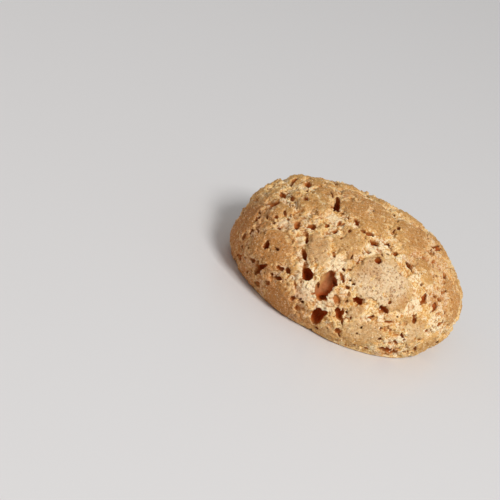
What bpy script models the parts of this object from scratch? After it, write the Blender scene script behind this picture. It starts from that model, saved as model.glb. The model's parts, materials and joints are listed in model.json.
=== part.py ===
"""An amaretti cookie: a low dome of baked almond meringue, in metres, +Z up.

The dome stands on its flat baked foot, with the origin at the middle of the foot. As the dough rose
its dry skin split into plates. The plates are smooth and stand proud, the crumb between them is rough
and full of burst bubbles, and a few cracks run along the plates' edges.

Every feature is placed by two angles seen from the middle of the dome's waist: the azimuth, counted
from +X towards +Y, and the rise above the waist's level.
"""

import math
import random

import bmesh
import bpy
import numpy as np
from mathutils import Matrix, Vector, noise

MM = 0.001

# The dome is an ellipsoid that the foot cuts off below its waist.
LENGTH = 40.0 * MM
WIDTH = 38.0 * MM
HEIGHT = 16.4 * MM
WAIST = 5.0 * MM
HALF_SIZES = np.array([LENGTH / 2, WIDTH / 2, HEIGHT - WAIST])
SPHERE_LEVELS = 7
SPARE_BELOW = 0.4 * MM

# Long swells of the whole dome: azimuth, rise, reach and lift in millimetres.
SWELLS = {
    "left_heel": (-167, -6, 4.2, 0.60),
    "left_flat": (-173, 11, 4.6, -0.65),
    "ridge_end": (154, 24, 4.6, 0.70),
    "back_dip": (108, 52, 5.5, -0.35),
    "right_bulge": (18, 15, 5.0, 0.25),
    "right_flat": (-20, -4, 4.0, -0.40),
    "front_right_foot": (-36, -16, 4.0, 0.40),
    "front_foot": (-77, -17, 3.6, 0.35),
    "front_left_flat": (-95, -14, 3.6, -0.35),
}
DRIFT_SCALE = 9.0 * MM
DRIFT_LIFT = 0.30 * MM

# Plates of whole skin: azimuth, rise, half length, half height (mm), turn (degrees), lift (mm).
PLATES = {
    "left": (-127, 15, 3.7, 3.3, 20, 0.40),
    "left_side": (-158, 4, 2.6, 3.0, 0, 0.30),
    "centre": (-109, 25, 3.6, 2.0, 125, 0.40),
    "upper": (-101, 39, 2.3, 1.7, 0, 0.30),
    "ridge": (-150, 41, 3.9, 2.3, 30, 0.65),
    "crown": (165, 74, 6.0, 4.6, 10, 0.45),
    "crown_right": (4, 58, 4.6, 4.0, 0, 0.40),
    "pale": (-67, 25, 4.9, 3.5, -6, 0.30),
    "right": (-20, 36, 2.2, 2.7, 0, 0.35),
    "low_left": (-118, -7, 1.8, 1.5, 0, 0.25),
    "low_front": (-68, 1, 2.8, 1.6, -10, 0.25),
    "low_right": (-50, 6, 2.2, 1.4, 0, 0.25),
    "right_side": (-10, 15, 1.8, 2.8, 0, 0.25),
}
HIDDEN_PLATES = 34
HIDDEN_PLATE_SIZES = (1.8, 4.2)
PLATE_LIFT = 0.35
PLATE_EDGE = 0.10
PLATE_WOBBLES = ((2.2 * MM, 0.26), (0.8 * MM, 0.12))

CRUMB_ROUGHNESS = ((1.9 * MM, 0.22 * MM), (0.9 * MM, 0.16 * MM))

# Cracks: the azimuth and rise of each bend, then the half width and the depth in millimetres.
CRACKS = {
    "side": ([(-164, 17), (-154, 14), (-150, 3), (-147, -2), (-142, -9)], 0.35, 0.60),
    "ridge_foot": ([(-156, 17), (-150, 22), (-141, 26), (-128, 37), (-128, 45)], 0.50, 0.55),
    "back": ([(-140, 54), (-111, 62), (-85, 55), (-66, 51), (-45, 42)], 0.40, 0.60),
    "right": ([(-45, 42), (-39, 29), (-37, 23), (-43, 13)], 0.45, 0.50),
    "middle": ([(-122, 28), (-118, 22), (-113, 16), (-109, 13)], 0.40, 0.60),
    "pale_rim": ([(-100, 23), (-92, 21), (-85, 19), (-82, 14)], 0.50, 0.50),
}

# Burst bubbles that show from a step away: azimuth, rise, length, breadth, depth (mm), turn (degrees).
HOLLOWS = {
    "great_upper": (-93, 14, 3.4, 2.6, 2.1, 105),
    "great_lower": (-98, 9, 2.6, 2.2, 1.6, 80),
    "left_of_great": (-107, 12, 2.5, 1.9, 2.4, -38),
    "under_great": (-91, -3, 2.8, 2.5, 2.3, -12),
    "right_of_great": (-84, 5, 2.8, 1.9, 1.8, -55),
    "right_of_great_top": (-88, 10, 2.0, 1.3, 0.9, -55),
    "pale_left": (-77, 12, 1.6, 1.5, 1.7, 0),
    "pale_foot": (-63, 13, 2.0, 0.9, 1.3, -26),
    "left_low": (-131, -1, 2.9, 2.4, 1.6, 0),
    "left_plate_hole": (-135, 10, 1.9, 1.4, 1.5, -75),
    "left_plate_low": (-120, 6, 1.3, 1.3, 1.2, 0),
    "left_plate_corner": (-115, 8, 1.3, 1.3, 1.1, 0),
    "ridge_notch": (-147, 55, 2.9, 1.9, 1.9, -25),
    "ridge_left": (-164, 22, 3.8, 1.9, 1.3, 30),
    "ridge_front": (-128, 32, 2.7, 1.3, 1.4, 39),
    "ridge_front_left": (-135, 27, 2.3, 1.3, 1.1, -34),
    "middle_slot": (-115, 19, 2.5, 1.1, 1.5, -51),
    "back_slot": (-77, 50, 1.8, 1.0, 1.4, -8),
    "back_round": (-61, 50, 1.6, 1.2, 1.4, -75),
    "pale_top": (-70, 37, 1.3, 1.1, 1.2, 0),
    "right_slot": (-43, 38, 2.1, 1.1, 1.5, -66),
    "right_upright": (-37, 21, 2.2, 1.2, 1.4, 80),
    "right_edge": (-30, 15, 2.3, 1.4, 1.4, 35),
    "right_low": (-44, 10, 1.6, 0.9, 1.3, -79),
    "rim_notch": (18, 36, 2.6, 1.6, 1.1, 0),
    "foot_groove": (-49, -9, 3.8, 1.3, 1.0, -14),
    "low_round": (-107, -2, 1.2, 1.1, 1.1, 0),
    "low_pit": (-80, -6, 1.7, 1.2, 1.2, 60),
    "low_shelf": (-49, 0, 1.8, 1.7, 0.8, 0),
}

# The bubbles that no one would tell apart follow a rule.
SMALL_HOLLOWS = 300
SMALL_LENGTHS = (0.9, 2.0)
LOWEST_RISE = -13
SEED = 11

TRIANGLES = 10800
CRUST_COLOUR = (0.62, 0.36, 0.155, 1.0)


def clear_scene():
    for old in list(bpy.data.objects):
        bpy.data.objects.remove(old)


def new_collection(name):
    made = bpy.data.collections.new(name)
    bpy.context.scene.collection.children.link(made)
    return made


def smooth_step(low, high, values):
    share = np.clip((values - low) / (high - low), 0.0, 1.0)
    return share * share * (3.0 - 2.0 * share)


def noise_at(points, scale):
    """Smooth noise from -1 to 1 at each point, with swells about as long as the scale."""
    return np.array([noise.noise(Vector(place)) for place in points / scale])


def spot(azimuth, rise):
    """The point of the plain dome in that direction from the waist's middle, and its outward normal."""
    around, up = math.radians(azimuth), math.radians(rise)
    ray = np.array([math.cos(around) * math.cos(up), math.sin(around) * math.cos(up), math.sin(up)])
    point = ray / np.linalg.norm(ray / HALF_SIZES)
    normal = point / HALF_SIZES**2
    return point + [0, 0, WAIST], normal / np.linalg.norm(normal)


def skin_axes(normal, turn):
    """Two directions along the skin: one turned by that many degrees from the level, one square to it."""
    level = np.cross([0, 0, 1], normal)
    level /= np.linalg.norm(level)
    upward = np.cross(normal, level)
    angle = math.radians(turn)
    along = math.cos(angle) * level + math.sin(angle) * upward
    return along, np.cross(normal, along)


def hidden_plates():
    """Plates on the far side, spread by the golden angle wherever no named plate lies."""
    chance = random.Random(SEED)
    golden = math.pi * (3.0 - math.sqrt(5.0))
    taken = [(spot(azimuth, rise)[0], max(half) * MM) for azimuth, rise, *half, _, _ in PLATES.values()]
    made = {}
    for index in range(HIDDEN_PLATES):
        azimuth = math.degrees(index * golden + chance.uniform(-0.2, 0.2)) % 360
        rise = math.degrees(math.asin(-0.25 + 1.2 * (index + 0.5) / HIDDEN_PLATES))
        half = chance.uniform(*HIDDEN_PLATE_SIZES)
        turn = chance.uniform(0, 180)
        place = spot(azimuth, rise)[0]
        if all(np.linalg.norm(place - other) > 0.8 * reach + 0.6 * half * MM for other, reach in taken):
            made[f"hidden_{index}"] = (azimuth, rise, half, 0.75 * half, turn, PLATE_LIFT)
            taken.append((place, half * MM))
    return made


def plate_cover(points, plates):
    """For each point, how much it lies on whole skin, from 0 to 1, and how far that skin stands proud."""
    wobble = sum(size * noise_at(points, scale) for scale, size in PLATE_WOBBLES)
    skin, lift = np.zeros(len(points)), np.zeros(len(points))
    for azimuth, rise, length, height, turn, proud in plates.values():
        centre, normal = spot(azimuth, rise)
        along, across = skin_axes(normal, turn)
        offset = points - centre
        reach = np.sqrt(
            (offset @ along / (length * MM)) ** 2
            + (offset @ across / (height * MM)) ** 2
            + (offset @ normal / (max(length, height) * MM)) ** 2
        )
        share = 1.0 - smooth_step(1.0 - PLATE_EDGE, 1.0 + PLATE_EDGE, reach + wobble)
        skin = np.maximum(skin, share)
        lift = np.maximum(lift, share * proud * MM)
    return skin, lift


def crack_depth(points):
    """How deep each point lies in a crack, as a groove round the line through the crack's bends."""
    strayed = points + 0.35 * MM * np.stack([noise_at(points + shift, 1.5 * MM) for shift in (0, 1, 2)], 1)
    depth = np.zeros(len(points))
    for bends, half_width, deepest in CRACKS.values():
        stops = [spot(azimuth, rise)[0] for azimuth, rise in bends]
        for start, end in zip(stops, stops[1:]):
            run = end - start
            share = np.clip((strayed - start) @ run / (run @ run), 0.0, 1.0)
            away = np.linalg.norm(strayed - start - share[:, None] * run, axis=1)
            depth = np.maximum(depth, deepest * MM * np.exp(-((away / (half_width * MM)) ** 2)))
    return depth


def swell(points):
    """The long swells of the dome at each point."""
    lift = DRIFT_LIFT * noise_at(points, DRIFT_SCALE)
    for azimuth, rise, reach, height in SWELLS.values():
        away = np.linalg.norm(points - spot(azimuth, rise)[0], axis=1)
        lift += height * MM * np.exp(-((away / (reach * MM)) ** 2))
    return lift


def relief(points, plates):
    """How far the crust stands out from the plain dome at each point, and its share of whole skin."""
    skin, lift = plate_cover(points, plates)
    crumb = sum(size * noise_at(points, scale) for scale, size in CRUMB_ROUGHNESS)
    return swell(points) + lift + (1.0 - skin) * crumb - crack_depth(points), skin


def cut_level(mesh, level):
    """Cuts off all that lies below the level and closes the mesh with a flat foot."""
    shape = bmesh.new()
    shape.from_mesh(mesh)
    everything = shape.verts[:] + shape.edges[:] + shape.faces[:]
    cut = bmesh.ops.bisect_plane(
        shape, geom=everything, plane_co=(0, 0, level), plane_no=(0, 0, -1), clear_outer=True
    )
    rim = [piece for piece in cut["geom_cut"] if isinstance(piece, bmesh.types.BMEdge)]
    foot = bmesh.ops.contextual_create(shape, geom=rim)["faces"]
    bmesh.ops.triangulate(shape, faces=foot, ngon_method="BEAUTY")
    bmesh.ops.recalc_face_normals(shape, faces=shape.faces[:])
    shape.to_mesh(mesh)
    shape.free()


def make_dome(plates, collection):
    """The dome with its swells, plates, rough crumb and cracks, cut off a little below the foot."""
    bpy.ops.mesh.primitive_ico_sphere_add(subdivisions=SPHERE_LEVELS, radius=1.0)
    dome = bpy.context.object
    dome.name = dome.data.name = "amaretti_cookie"
    for owner in dome.users_collection:
        owner.objects.unlink(dome)
    collection.objects.link(dome)
    points = np.array([vertex.co for vertex in dome.data.vertices]) * HALF_SIZES
    normals = points / HALF_SIZES**2
    normals /= np.linalg.norm(normals, axis=1)[:, None]
    points[:, 2] += WAIST
    out, _ = relief(points, plates)
    points += out[:, None] * normals
    dome.data.vertices.foreach_set("co", points.ravel())
    cut_level(dome.data, -SPARE_BELOW)
    return dome


def small_hollows(plates):
    """Bubbles spread evenly by the golden angle: most of those under whole skin stayed shut."""
    chance = random.Random(SEED)
    golden = math.pi * (3.0 - math.sqrt(5.0))
    lowest = math.sin(math.radians(LOWEST_RISE))
    made = []
    for index in range(SMALL_HOLLOWS):
        azimuth = math.degrees(index * golden) + chance.uniform(-4, 4)
        rise = math.degrees(math.asin(lowest + (1.0 - lowest) * (index + 0.5) / SMALL_HOLLOWS))
        length = SMALL_LENGTHS[0] + (SMALL_LENGTHS[1] - SMALL_LENGTHS[0]) * chance.random() ** 2.5
        breadth = length * chance.uniform(0.55, 0.95)
        depth = length * chance.uniform(0.5, 0.9)
        turn = chance.uniform(0, 180)
        skin = plate_cover(spot(azimuth, rise)[0][None, :], plates)[0][0]
        if chance.random() > 0.85 * skin:
            made.append((azimuth, rise, length, breadth, depth, turn))
    return made


def make_bubble(number, size, collection):
    """A lumpy bubble that opens the crust at its spot, as a hidden cutter."""
    azimuth, rise, length, breadth, depth, turn = size
    levels = 3 if length > 1.5 else 2
    bpy.ops.mesh.primitive_ico_sphere_add(subdivisions=levels, radius=1.0)
    bubble = bpy.context.object
    bubble.name = f"bubble_{number}"
    for owner in bubble.users_collection:
        owner.objects.unlink(bubble)
    collection.objects.link(bubble)
    centre, normal = spot(azimuth, rise)
    along, across = skin_axes(normal, turn)
    shape = np.array([vertex.co for vertex in bubble.data.vertices])
    lumps = 1.0 + 0.30 * noise_at(shape + number * 7.3, 0.9)
    stretch = np.stack([along * length / 2, across * breadth / 2, normal * depth]) * MM
    points = centre + (shape * lumps[:, None]) @ stretch
    bubble.data.vertices.foreach_set("co", points.ravel())
    bubble.hide_render = True
    bubble.display_type = "WIRE"


def carve(dome, cutters):
    """Opens all the bubbles with one cut, then removes the cutters."""
    cut = dome.modifiers.new("bubbles", "BOOLEAN")
    cut.operation = "DIFFERENCE"
    cut.operand_type = "COLLECTION"
    cut.collection = cutters
    cut.solver = "EXACT"
    bpy.context.view_layer.objects.active = dome
    bpy.ops.object.modifier_apply(modifier=cut.name)
    for bubble in list(cutters.objects):
        bpy.data.objects.remove(bubble)
    bpy.data.collections.remove(cutters)


def keep_largest(mesh):
    """Drops the loose scraps that a cut leaves."""
    shape = bmesh.new()
    shape.from_mesh(mesh)
    left = set(shape.verts)
    pieces = []
    while left:
        piece, edge = set(), {left.pop()}
        while edge:
            piece |= edge
            edge = {link.other_vert(vertex) for vertex in edge for link in vertex.link_edges} - piece
        left -= piece
        pieces.append(piece)
    pieces.sort(key=len)
    for scrap in pieces[:-1]:
        bmesh.ops.delete(shape, geom=list(scrap), context="VERTS")
    shape.to_mesh(mesh)
    shape.free()


def thin_out(dome):
    """Fewer triangles: the smooth plates lose the most."""
    dome.data.calc_loop_triangles()
    thin = dome.modifiers.new("thin", "DECIMATE")
    thin.ratio = TRIANGLES / len(dome.data.loop_triangles)
    thin.use_collapse_triangulate = True
    bpy.ops.object.modifier_apply(modifier=thin.name)


def centre_on_origin(mesh):
    """Moves the mesh so that the middle of its box stands over the origin."""
    places = np.array([vertex.co for vertex in mesh.vertices])
    middle = (places.min(axis=0) + places.max(axis=0)) / 2
    mesh.transform(Matrix.Translation((-middle[0], -middle[1], 0)))


def crust_material():
    crust = bpy.data.materials.new("baked_crust")
    crust.use_nodes = True
    shader = crust.node_tree.nodes["Principled BSDF"]
    shader.inputs["Base Color"].default_value = CRUST_COLOUR
    shader.inputs["Roughness"].default_value = 0.7
    shader.inputs["Metallic"].default_value = 0.0
    return crust


def main():
    clear_scene()
    cookie_parts = new_collection("amaretti_cookie")
    cutters = new_collection("cutters")
    plates = {**PLATES, **hidden_plates()}
    cookie = make_dome(plates, cookie_parts)
    for number, size in enumerate([*HOLLOWS.values(), *small_hollows(plates)]):
        make_bubble(number, size, cutters)
    carve(cookie, cutters)
    keep_largest(cookie.data)
    thin_out(cookie)
    cut_level(cookie.data, 0.0)
    centre_on_origin(cookie.data)
    cookie.data.materials.append(crust_material())
    cookie.data.shade_smooth()
    cookie.data.set_sharp_from_angle(angle=math.radians(50))


main()
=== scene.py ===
# %% [markdown]
# # An amaretti cookie
# A baked almond meringue: a low dome whose dry skin cracked into plates as the dough rose, with rough
# crumb and burst bubbles between the plates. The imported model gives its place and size. Here it gets
# the real crust: one closed mesh with every plate, crack and bubble in it, and sugar grit on top.

# %% The fixed frame
import json
import math
import random

import bpy
import numpy as np
from mathutils import Matrix, Vector, noise
from mathutils.bvhtree import BVHTree

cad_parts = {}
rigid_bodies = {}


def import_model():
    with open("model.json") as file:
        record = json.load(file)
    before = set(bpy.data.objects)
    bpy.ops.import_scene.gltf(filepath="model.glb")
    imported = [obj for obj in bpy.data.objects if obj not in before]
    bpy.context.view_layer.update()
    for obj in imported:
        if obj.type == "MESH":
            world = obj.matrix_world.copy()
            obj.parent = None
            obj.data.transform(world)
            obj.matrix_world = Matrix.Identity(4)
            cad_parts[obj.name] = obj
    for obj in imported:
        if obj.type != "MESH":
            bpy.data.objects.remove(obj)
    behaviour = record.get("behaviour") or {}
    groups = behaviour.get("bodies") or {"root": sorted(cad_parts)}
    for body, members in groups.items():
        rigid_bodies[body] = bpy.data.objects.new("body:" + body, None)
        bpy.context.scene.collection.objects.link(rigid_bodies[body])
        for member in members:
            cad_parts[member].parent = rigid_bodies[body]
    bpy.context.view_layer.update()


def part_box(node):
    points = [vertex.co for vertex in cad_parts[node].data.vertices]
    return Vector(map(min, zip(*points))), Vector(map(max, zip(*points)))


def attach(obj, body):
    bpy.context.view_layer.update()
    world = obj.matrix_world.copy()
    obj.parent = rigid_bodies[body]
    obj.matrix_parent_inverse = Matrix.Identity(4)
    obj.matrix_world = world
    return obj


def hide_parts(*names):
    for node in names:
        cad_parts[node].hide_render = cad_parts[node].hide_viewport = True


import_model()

MM = 0.001
LOWEST, HIGHEST = (Vector(corner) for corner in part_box("amaretti_cookie"))
LENGTH, WIDTH, HEIGHT = HIGHEST - LOWEST
print("size in mm", [round(side / MM, 1) for side in (LENGTH, WIDTH, HEIGHT)])

# %% [markdown]
# ## The camera
# The photograph looks at the cookie from a little above, and the cookie leans over to the right, so its
# own upright axis is turned in the picture. The camera takes that lean as a roll. It is built from the
# view direction: three axes, then a small turn that puts the cookie at its place in the picture.

# %% Camera
PHOTO_WIDTH = 500
PHOTO_FOCAL = 1830.0
COOKIE_PIXEL = (352.0, 257.8)
LOOK_AT = Vector((0, 0, 7 * MM))
CAMERA_DISTANCE = 302.6 * MM
CAMERA_ELEVATION = math.radians(24.7)
CAMERA_ROLL = math.radians(27.2)
SENSOR_WIDTH = 36.0
NEAREST_SEEN = 10 * MM


def camera_axes():
    """The camera's right, up and forward directions."""
    forward = Vector((0, math.cos(CAMERA_ELEVATION), -math.sin(CAMERA_ELEVATION)))
    level = Vector((1, 0, 0))
    upright = level.cross(forward)
    right = level * math.cos(CAMERA_ROLL) + upright * math.sin(CAMERA_ROLL)
    up = upright * math.cos(CAMERA_ROLL) - level * math.sin(CAMERA_ROLL)
    across = (COOKIE_PIXEL[0] - PHOTO_WIDTH / 2) / PHOTO_FOCAL
    above = (PHOTO_WIDTH / 2 - COOKIE_PIXEL[1]) / PHOTO_FOCAL
    swing = Vector((0, 0, 1)).rotation_difference(Vector((across, above, 1)).normalized())
    turned = swing.to_matrix() @ Matrix((right, up, forward))
    return turned[0].copy(), turned[1].copy(), turned[2].copy(), forward


RIGHT, UP, FORWARD, TO_COOKIE = camera_axes()
camera = bpy.data.objects.new("camera", bpy.data.cameras.new("camera"))
bpy.context.scene.collection.objects.link(camera)
camera.data.sensor_width = SENSOR_WIDTH
camera.data.lens = PHOTO_FOCAL * SENSOR_WIDTH / PHOTO_WIDTH
camera.data.clip_start = NEAREST_SEEN
camera.matrix_world = Matrix.Translation(LOOK_AT - CAMERA_DISTANCE * TO_COOKIE) @ Matrix(
    (RIGHT, UP, -FORWARD)
).transposed().to_4x4()
bpy.context.scene.camera = camera
print("lens", round(camera.data.lens, 1), "mm, camera at", [round(x / MM) for x in camera.location], "mm")

# %% [markdown]
# ## Light and floor
# A large soft window stands to the right of the camera, and the pale room fills the shadows. A weak warm
# fill comes from the left, as if golden things nearby threw some light back. Area lights are placed by
# the camera's own axes, so that they keep their side of the picture. The floor is one wide pale plane.

# %% Light and floor
WINDOW = dict(side=0.58, above=0.20, towards=0.79, distance=0.90, size=0.28, power=6.35)
WARM_FILL = dict(side=-0.85, above=-0.10, towards=0.52, distance=0.40, size=0.30, power=0.36)
WINDOW_COLOUR = (1.0, 0.98, 0.95)
WARM_COLOUR = (1.0, 0.52, 0.24)
ROOM_COLOUR = (1.0, 0.98, 0.96, 1.0)
ROOM_STRENGTH = 0.39
FLOOR_SIZE = 6.0
FLOOR_COLOUR = (0.725, 0.725, 0.740, 1.0)
FLOOR_ROUGHNESS = 0.35


def area_light(name, colour, side, above, towards, distance, size, power):
    """A square soft light that faces the cookie from a direction given in the camera's axes."""
    light = bpy.data.lights.new(name, "AREA")
    light.shape = "SQUARE"
    light.size = size
    light.energy = power
    light.color = colour
    lamp = bpy.data.objects.new(name, light)
    bpy.context.scene.collection.objects.link(lamp)
    direction = (RIGHT * side + UP * above - FORWARD * towards).normalized()
    lamp.location = LOOK_AT + direction * distance
    lamp.rotation_euler = direction.to_track_quat("Z", "Y").to_euler()


def new_material(name):
    """A new material, its node tree and its shader."""
    made = bpy.data.materials.new(name)
    made.use_nodes = True
    return made, made.node_tree, made.node_tree.nodes["Principled BSDF"]


area_light("window", WINDOW_COLOUR, **WINDOW)
area_light("warm_fill", WARM_COLOUR, **WARM_FILL)
room = bpy.data.worlds.new("room")
room.use_nodes = True
room.node_tree.nodes["Background"].inputs["Color"].default_value = ROOM_COLOUR
room.node_tree.nodes["Background"].inputs["Strength"].default_value = ROOM_STRENGTH
bpy.context.scene.world = room
bpy.context.scene.view_settings.view_transform = "Standard"

bpy.ops.mesh.primitive_plane_add(size=FLOOR_SIZE)
floor = bpy.context.object
floor.name = "floor"
glaze, _, glaze_shader = new_material("floor_glaze")
glaze_shader.inputs["Base Color"].default_value = FLOOR_COLOUR
glaze_shader.inputs["Roughness"].default_value = FLOOR_ROUGHNESS
floor.data.materials.append(glaze)
print("window power", WINDOW["power"], "W, room", ROOM_STRENGTH)

# %% [markdown]
# ## Places on the dome
# What the photo shows is placed by its pixel: a ray from the camera through that pixel meets
# the dome at the place, so each feature comes out where the picture has it. What lies on the far side is
# placed by two angles from the middle of the dome's waist: the azimuth, from +X towards +Y, and the rise
# above the waist's level. Three more helpers give directions in the picture and along the skin.

# %% Places on the dome
WAIST = 0.296 * HEIGHT
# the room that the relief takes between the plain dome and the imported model's box
RELIEF = 0.45 * MM
HALF_SIZES = np.array([LENGTH / 2 - RELIEF, WIDTH / 2 - RELIEF, HEIGHT - WAIST - RELIEF])
# near the dome's edge a mouth isn't stretched more than for a skin that faces the camera this much
LEAST_FACING = 0.35
SEED = 5


def dome_normal(place):
    """The plain dome's outward normal at a place on it or near it."""
    normal = (place - [0, 0, WAIST]) / HALF_SIZES**2
    return normal / np.linalg.norm(normal)


def spot(azimuth, rise):
    """The place on the plain dome at two angles, and the normal there."""
    around, upward = math.radians(azimuth), math.radians(rise)
    ray = np.array(
        [math.cos(around) * math.cos(upward), math.sin(around) * math.cos(upward), math.sin(upward)]
    )
    place = ray / np.linalg.norm(ray / HALF_SIZES) + [0, 0, WAIST]
    return place, dome_normal(place)


def photo_ray(across, down):
    """The direction from the camera through a pixel of the photo."""
    middle = PHOTO_WIDTH / 2
    return (FORWARD * PHOTO_FOCAL + RIGHT * (across - middle) - UP * (down - middle)).normalized()


def seen_spot(across, down):
    """The place on the plain dome that a pixel of the photo shows, and the normal there."""
    eye = (np.array(camera.location) - [0, 0, WAIST]) / HALF_SIZES
    step = np.array(photo_ray(across, down)) / HALF_SIZES
    slope = eye @ step
    inside = slope**2 - step @ step * (eye @ eye - 1.0)
    place = eye - (slope + math.sqrt(max(inside, 0.0))) / (step @ step) * step
    place = place / np.linalg.norm(place) * HALF_SIZES + [0, 0, WAIST]
    return place, dome_normal(place)


def picture_lines(turn):
    """Two directions in the picture's own plane, level and upright, turned by the angle."""
    angle = math.radians(turn)
    level = np.array(RIGHT * math.cos(angle) + UP * math.sin(angle))
    return level, np.array(UP * math.cos(angle) - RIGHT * math.sin(angle))


def picture_axes(place, normal, turn):
    """Two directions along the skin that look level and upright in the photo, turned by the angle."""
    view = np.array((Vector(place) - camera.location).normalized())
    facing = min(view @ normal, -LEAST_FACING)
    return [flat - view * (flat @ normal) / facing for flat in picture_lines(turn)]


def skin_axes(normal, turn):
    """Two directions along the skin, the first turned by the angle from the level."""
    level = np.cross([0, 0, 1], normal)
    level /= np.linalg.norm(level)
    upward = np.cross(normal, level)
    angle = math.radians(turn)
    along = math.cos(angle) * level + math.sin(angle) * upward
    return along, np.cross(normal, along)


def smooth_step(low, high, values):
    """Zero up to the low value and one from the high value on, with a smooth curve between."""
    share = np.clip((values - low) / (high - low), 0.0, 1.0)
    return share * share * (3.0 - 2.0 * share)


def noise_at(points, scale):
    """Smooth noise from -1 to 1, with swells about as long as the scale."""
    return np.array([noise.noise(place) for place in map(Vector, points / scale)])


def places(piece):
    """The piece's vertices as an array, one row each."""
    flat = np.empty(len(piece.data.vertices) * 3, np.float32)
    piece.data.vertices.foreach_get("co", flat)
    return flat.reshape(-1, 3).astype(float)


print("half sizes in mm", (HALF_SIZES / MM).round(2), "waist", round(WAIST / MM, 2))

# %% [markdown]
# ## Plates of whole skin
# As the dough rose its skin split into plates that lie close together, like drying mud. So each point
# belongs to the plate whose edge is nearest, and the rough crumb shows where two plates meet. The plates
# on the shown side are ellipses, each with its middle, size and turn as the photo shows them. Round spots
# add where the skin burst away and where it held together. The plates on the far side follow a rule, the
# golden angle's even spiral. Noise makes all the borders ragged.

# %% Plates of whole skin
# pixel across and down, then half length and half breadth in mm and turn in degrees as seen in the
# photo, and lift in mm
PLATES = {
    "left": (272, 250, 4.3, 3.4, -5, 0.22),
    "left_side": (243, 230, 5.4, 1.5, 70, 0.16),
    "left_heel": (249, 277, 2.4, 1.3, -55, 0.12),
    "centre": (319.5, 250, 3.4, 2.0, 83, 0.24),
    "upper": (345, 243, 2.8, 2.0, 0, 0.16),
    "ridge": (311, 203, 3.2, 2.3, 0, 0.60),
    "top_left": (273, 192.5, 1.4, 0.8, 15, 0.25),
    "shoulder": (266, 223, 1.6, 1.1, 10, 0.12),
    "crown": (368, 211, 5.6, 2.6, -30, 0.30),
    "crown_right": (412, 239, 4.2, 2.1, -50, 0.24),
    "pale": (381, 284, 4.8, 3.8, -6, 0.24),
    "below_pale": (357, 312, 2.6, 1.4, -5, 0.12),
    "right": (425, 265, 2.3, 1.6, 80, 0.20),
    "low_left": (276, 292, 2.7, 1.9, -37, 0.14),
    "low_mid": (327, 327, 1.8, 1.2, -35, 0.10),
    "low_front": (366, 330, 3.8, 1.8, -8, 0.16),
    "low_right": (410, 332, 2.6, 1.6, 0, 0.12),
    "right_side": (452, 292, 4.0, 1.1, 85, 0.14),
}
FAR_PLATES = 46
FAR_PLATE_SIZES = (1.8, 4.4)
FAR_PLATE_BREADTH = 0.75
FAR_PLATE_LIFTS = (0.10, 0.36)
# how far, as an angle, a far plate strays from the spiral
FAR_PLATE_STRAY = 0.2
# a far plate is left out if it lies nearer to another than these shares of the two half lengths
OTHER_ROOM = 0.8
OWN_ROOM = 0.6
# spots where the skin burst away: pixel across and down, and reach in mm
BURST_SPOTS = {
    "great": (326, 286, 3.4),
    "great_top": (337, 263, 1.7),
    "great_left": (308, 291, 1.8),
    "under_great": (330, 309, 2.5),
    "middle": (302, 257, 1.4),
    "middle_high": (302, 239, 1.3),
    "ridge_left": (269, 209, 1.4),
    "ridge_front": (287, 220, 1.9),
    "ridge_middle": (303, 228, 1.6),
    "notch_front": (335, 222, 2.0),
    "back": (371, 248, 1.7),
    "back_right": (397, 256, 1.7),
    "right_mid": (411, 271, 1.5),
    "right_low": (426, 299, 2.4),
    "right_edge": (438, 305, 2.0),
    "low_right": (392, 321, 1.6),
    "low_shelf": (400, 341, 1.9),
    "low_front": (371, 315, 1.3),
    "top_left": (284, 194, 0.9),
    "crown_left": (304, 188, 1.1),
    "crown_spot": (349, 197, 1.4),
    "right_rim": (444, 269, 1.9),
    "right_rim_low": (446, 304, 1.9),
    "right_foot": (434, 324, 2.0),
    "left_low": (258, 267, 1.5),
    "left_mid_low": (283, 272, 1.3),
    "low_rim": (388, 349, 1.6),
}
# spots where the skin held together, in the same form
WHOLE_SPOTS = {
    "left": (270, 249, 3.7),
    "left_start": (256, 246, 1.7),
    "left_end": (284, 249, 2.2),
    "left_side": (247, 226, 2.0),
    "left_strip": (239, 245, 1.9),
    "left_heel": (250, 280, 1.6),
    "low_left": (272, 291, 2.2),
    "low_left_end": (287, 290, 1.3),
    "low_left_rim": (283, 303, 1.6),
    "top_left": (273, 192, 1.2),
    "ridge": (310, 205, 2.1),
    "ridge_end": (320, 199, 1.7),
    "centre": (319, 246, 2.1),
    "centre_low": (317, 259, 1.5),
    "crown": (368, 211, 3.2),
    "crown_right": (408, 234, 3.0),
    "right": (425, 266, 1.8),
}
# the share of the borders' wobble that the edges of the spots take on
WHOLE_WOBBLE = 0.8
BURST_WOBBLE = 1.6
# how far the skin grows past its plate, and half the width of the crumb between two plates
GROWTH = 1.9 * MM
BORDER = 0.70 * MM
# that width swells and shrinks over this distance, round a mean and within limits
BORDER_DRIFT = 4.5 * MM
BORDER_MEAN = 0.8
BORDER_SWING = 1.7
BORDER_LIMITS = (0.15, 1.8)
BORDER_EDGE = 0.20 * MM
LIFT_EDGE = 0.45 * MM
# scale and size of each noise in the borders' wobble
BORDER_WOBBLES = (
    (4.0 * MM, 0.80 * MM),
    (1.9 * MM, 0.80 * MM),
    (0.8 * MM, 0.50 * MM),
    (0.38 * MM, 0.26 * MM),
)
# scale and share of the noises whose sum past the limit takes a flake off a plate
FLAKES = ((1.7 * MM, 1.0), (0.7 * MM, 0.55))
FLAKE_LIMIT = 0.48
GOLDEN_ANGLE = math.pi * (3.0 - math.sqrt(5.0))
# the sine of the spiral's lowest rise, and how much it grows up to the top
SPIRAL_START = -0.25
SPIRAL_SPAN = 1.2


def spiral_spot(index, count):
    """Azimuth and rise of one of that many spots, spread evenly by the golden angle's spiral."""
    upward = math.asin(SPIRAL_START + SPIRAL_SPAN * (index + 0.5) / count)
    return math.degrees(index * GOLDEN_ANGLE) % 360, math.degrees(upward)


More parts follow.
